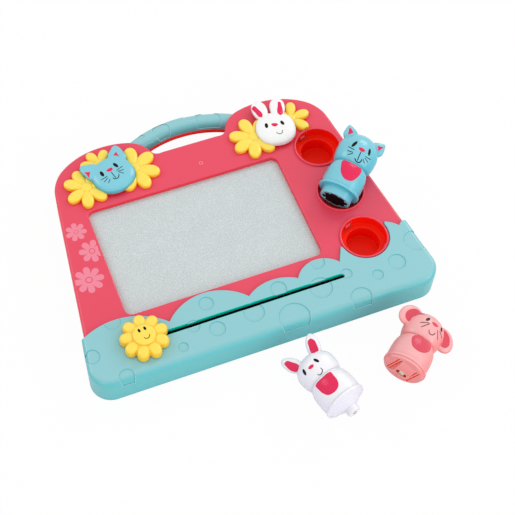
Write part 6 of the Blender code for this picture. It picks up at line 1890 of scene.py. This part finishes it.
@dataclass
class Studio:
    """Pale floor, soft light and the camera."""

    eye: tuple[float, float, float] = (-0.25653, -0.61869, 1.05569)
    lens: float = 87.18
    sky: float = 0.79
    half_floor: float = 6.0

    # Name, place, size and power of each lamp
    LAMPS = (
        ("left_lamp", (-0.90, 0.67, 0.90), 0.7, 2.8), ("right_lamp", (1.06, 0.60, 0.85), 0.7, 3.8),
        ("near_left_lamp", (-1.00, -1.15, 0.65), 0.9, 2.0), ("near_right_lamp", (1.10, -1.05, 0.65), 0.9, 3.2),
        ("low_lamp", (0.60, -1.45, 0.42), 1.2, 3.5),
    )
    # The camera's right, up and back
    AXES = ((0.92900472, -0.36794574, 0.03957473), (0.29403408, 0.7988341, 0.52479333),
            (-0.22470912, -0.47589916, 0.85030924))

    def build(self) -> None:
        """Sets the whole stage."""
        self.floor()
        self.light()
        self.camera()

    def floor(self) -> None:
        """A wide pale floor that looks nearly white to the camera and still takes the object's shadow."""
        mesh = bpy.data.meshes.new("floor")
        far = self.half_floor
        mesh.from_pydata([(-far, -far, 0), (far, -far, 0), (far, far, 0), (-far, far, 0)], [], [(0, 1, 2, 3)])
        item = placed("floor", mesh)
        graph = Graph("pale_floor")
        shown = graph.node("ShaderNodeLightPath", {}, {}, "Is Camera Ray") * 0.96
        grey = graph.blend(graph.noise(8.0), (0.80, 0.80, 0.80), (0.84, 0.84, 0.84))
        graph.finish(Base_Color=grey, Roughness=0.9, Specular_IOR_Level=0.0)
        white = graph.node("ShaderNodeEmission", {}, {"Color": (1.0, 1.0, 1.0, 1.0), "Strength": 1.0})
        mixed = graph.node("ShaderNodeMixShader", {}, {0: shown, 1: Signal(graph, graph.shader.outputs[0]), 2: white})
        graph.feed(graph.tree.nodes["Material Output"].inputs["Surface"], mixed)
        mesh.materials.append(graph.material)

    def light(self) -> None:
        """A bright even surround and five large soft lamps."""
        world = bpy.data.worlds.new("surround")
        world.use_nodes = True
        sky = world.node_tree.nodes["Background"]
        sky.inputs["Color"].default_value = (1.0, 1.0, 1.0, 1.0)
        sky.inputs["Strength"].default_value = self.sky
        bpy.context.scene.world = world
        for name, place, size, power in self.LAMPS:
            lamp = bpy.data.lights.new(name, "AREA")
            lamp.shape = "DISK"
            lamp.size = size
            lamp.energy = power
            item = placed(name, lamp)
            item.location = place
            item.rotation_euler = (-Matrix.Translation(place).translation).to_track_quat("-Z", "Y").to_euler()

    def camera(self) -> None:
        """The photograph's view."""
        lens = bpy.data.cameras.new("camera")
        lens.lens = self.lens
        lens.sensor_width = 36.0
        item = placed("camera", lens)
        item.matrix_world = Matrix.Translation(self.eye) @ Matrix(self.AXES).transposed().to_4x4()
        bpy.context.scene.camera = item
        bpy.context.scene.view_settings.view_transform = "Standard"


PLAIN = {
    "screen_front_sheet": Paint.FILM, "screen_honeycomb": Paint.GREY, "screen_back_sheet": Paint.GREY,
    "screen_retainer": Paint.WHITE, "eraser_slider": Paint.WHITE, "eraser_magnet": Paint.MAGNET,
    "knob_screw": Paint.STEEL, "mouse_axle": Paint.STEEL,
}


def paint_kept(nodes: dict[str, bpy.types.Object]) -> None:
    """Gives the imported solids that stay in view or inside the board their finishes."""
    for name, paint in PLAIN.items():
        mesh = nodes[name].data
        mesh.materials.clear()
        mesh.materials.append(paint.material())
        LOG.info("solid %s keeps its own form", name)


def badges() -> list[Badge]:
    """The two badges on the frame."""
    cat = CatBadge(
        "cat_badge", (-0.086337, 0.092061), (0.0218, 0.0204), 18.5, Paint.SKY_BLUE, "sky_blue",
        (
            Blossom(-0.0643, 0.0940, 0.0265, (82.7, 28.4, -26.7, -73.9, -122.0, 134.0, 187.0)),
            Blossom(-0.1156, 0.0879, 0.0235, (146.8, 205.5, 257.3, 309.0, 104.2, 0.0, 52.0)),
            Blossom(-0.0950, 0.1090, 0.0200, (112.0, 59.0, 160.0, 8.0, 212.0, 264.0, 316.0)),
        ),
        "cat_badge_flowers",
    )
    rabbit = RabbitBadge(
        "rabbit_badge", (0.087927, 0.090471), (0.0206, 0.0198), -7.4, Paint.BADGE_WHITE, "white",
        (
            Blossom(0.0637, 0.0899, 0.0255, (100.0, 157.0, 203.7, 252.6, 302.8, 354.0, 48.0)),
            Blossom(0.1080, 0.0990, 0.0215, (68.0, 8.0, -52.0, -112.0, 188.0, 128.0), 0.0052, 0.0064),
        ),
        "rabbit_badge_flowers",
    )
    return [cat, rabbit]


def stampers() -> list[Stamper]:
    """The three stamper animals in their places."""
    return [
        CatStamper("cat", "cat_stamper", Stand((0.1147078, -0.0080929, 0.0410), 42.2, 13.8, 20.0),
                   (0.0212, 0.0196, 0.0650, 0.0445), Paint.SKY_BLUE, "sky_blue", thick=0.0062),
        RabbitPen("rabbit", "rabbit_pen", Stand((0.0354, -0.212402, 0.0215), 106.1, -1.4, -24.0),
                  (0.0201, 0.0192, 0.0575, 0.0420), Paint.WHITE, "white"),
        MouseStamper("mouse", "mouse_stamper", Stand((0.1003, -0.199202, 0.0215), 39.8, -1.4, 23.0),
                     (0.0200, 0.0192, 0.0608, 0.0440), Paint.PALE_PINK, "pale_pink"),
    ]


def main() -> None:
    """Builds every piece in order."""
    logging.basicConfig(level=logging.INFO, format="%(message)s")
    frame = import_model()
    shell = Shell()
    shell.build()
    Skirt(shell).build()
    Handle(shell).build()
    for name, y in zip(("stamper_cup_back", "stamper_cup_middle", "stamper_cup_front"), CUP_ROWS):
        Cup(name, CUP_X, y).build()
    for badge in badges():
        badge.build()
    Knob().build()
    for stamper in stampers():
        stamper.build()
    paint_kept(frame["nodes"])
    Studio().build()


if __name__ == "__main__":
    main()
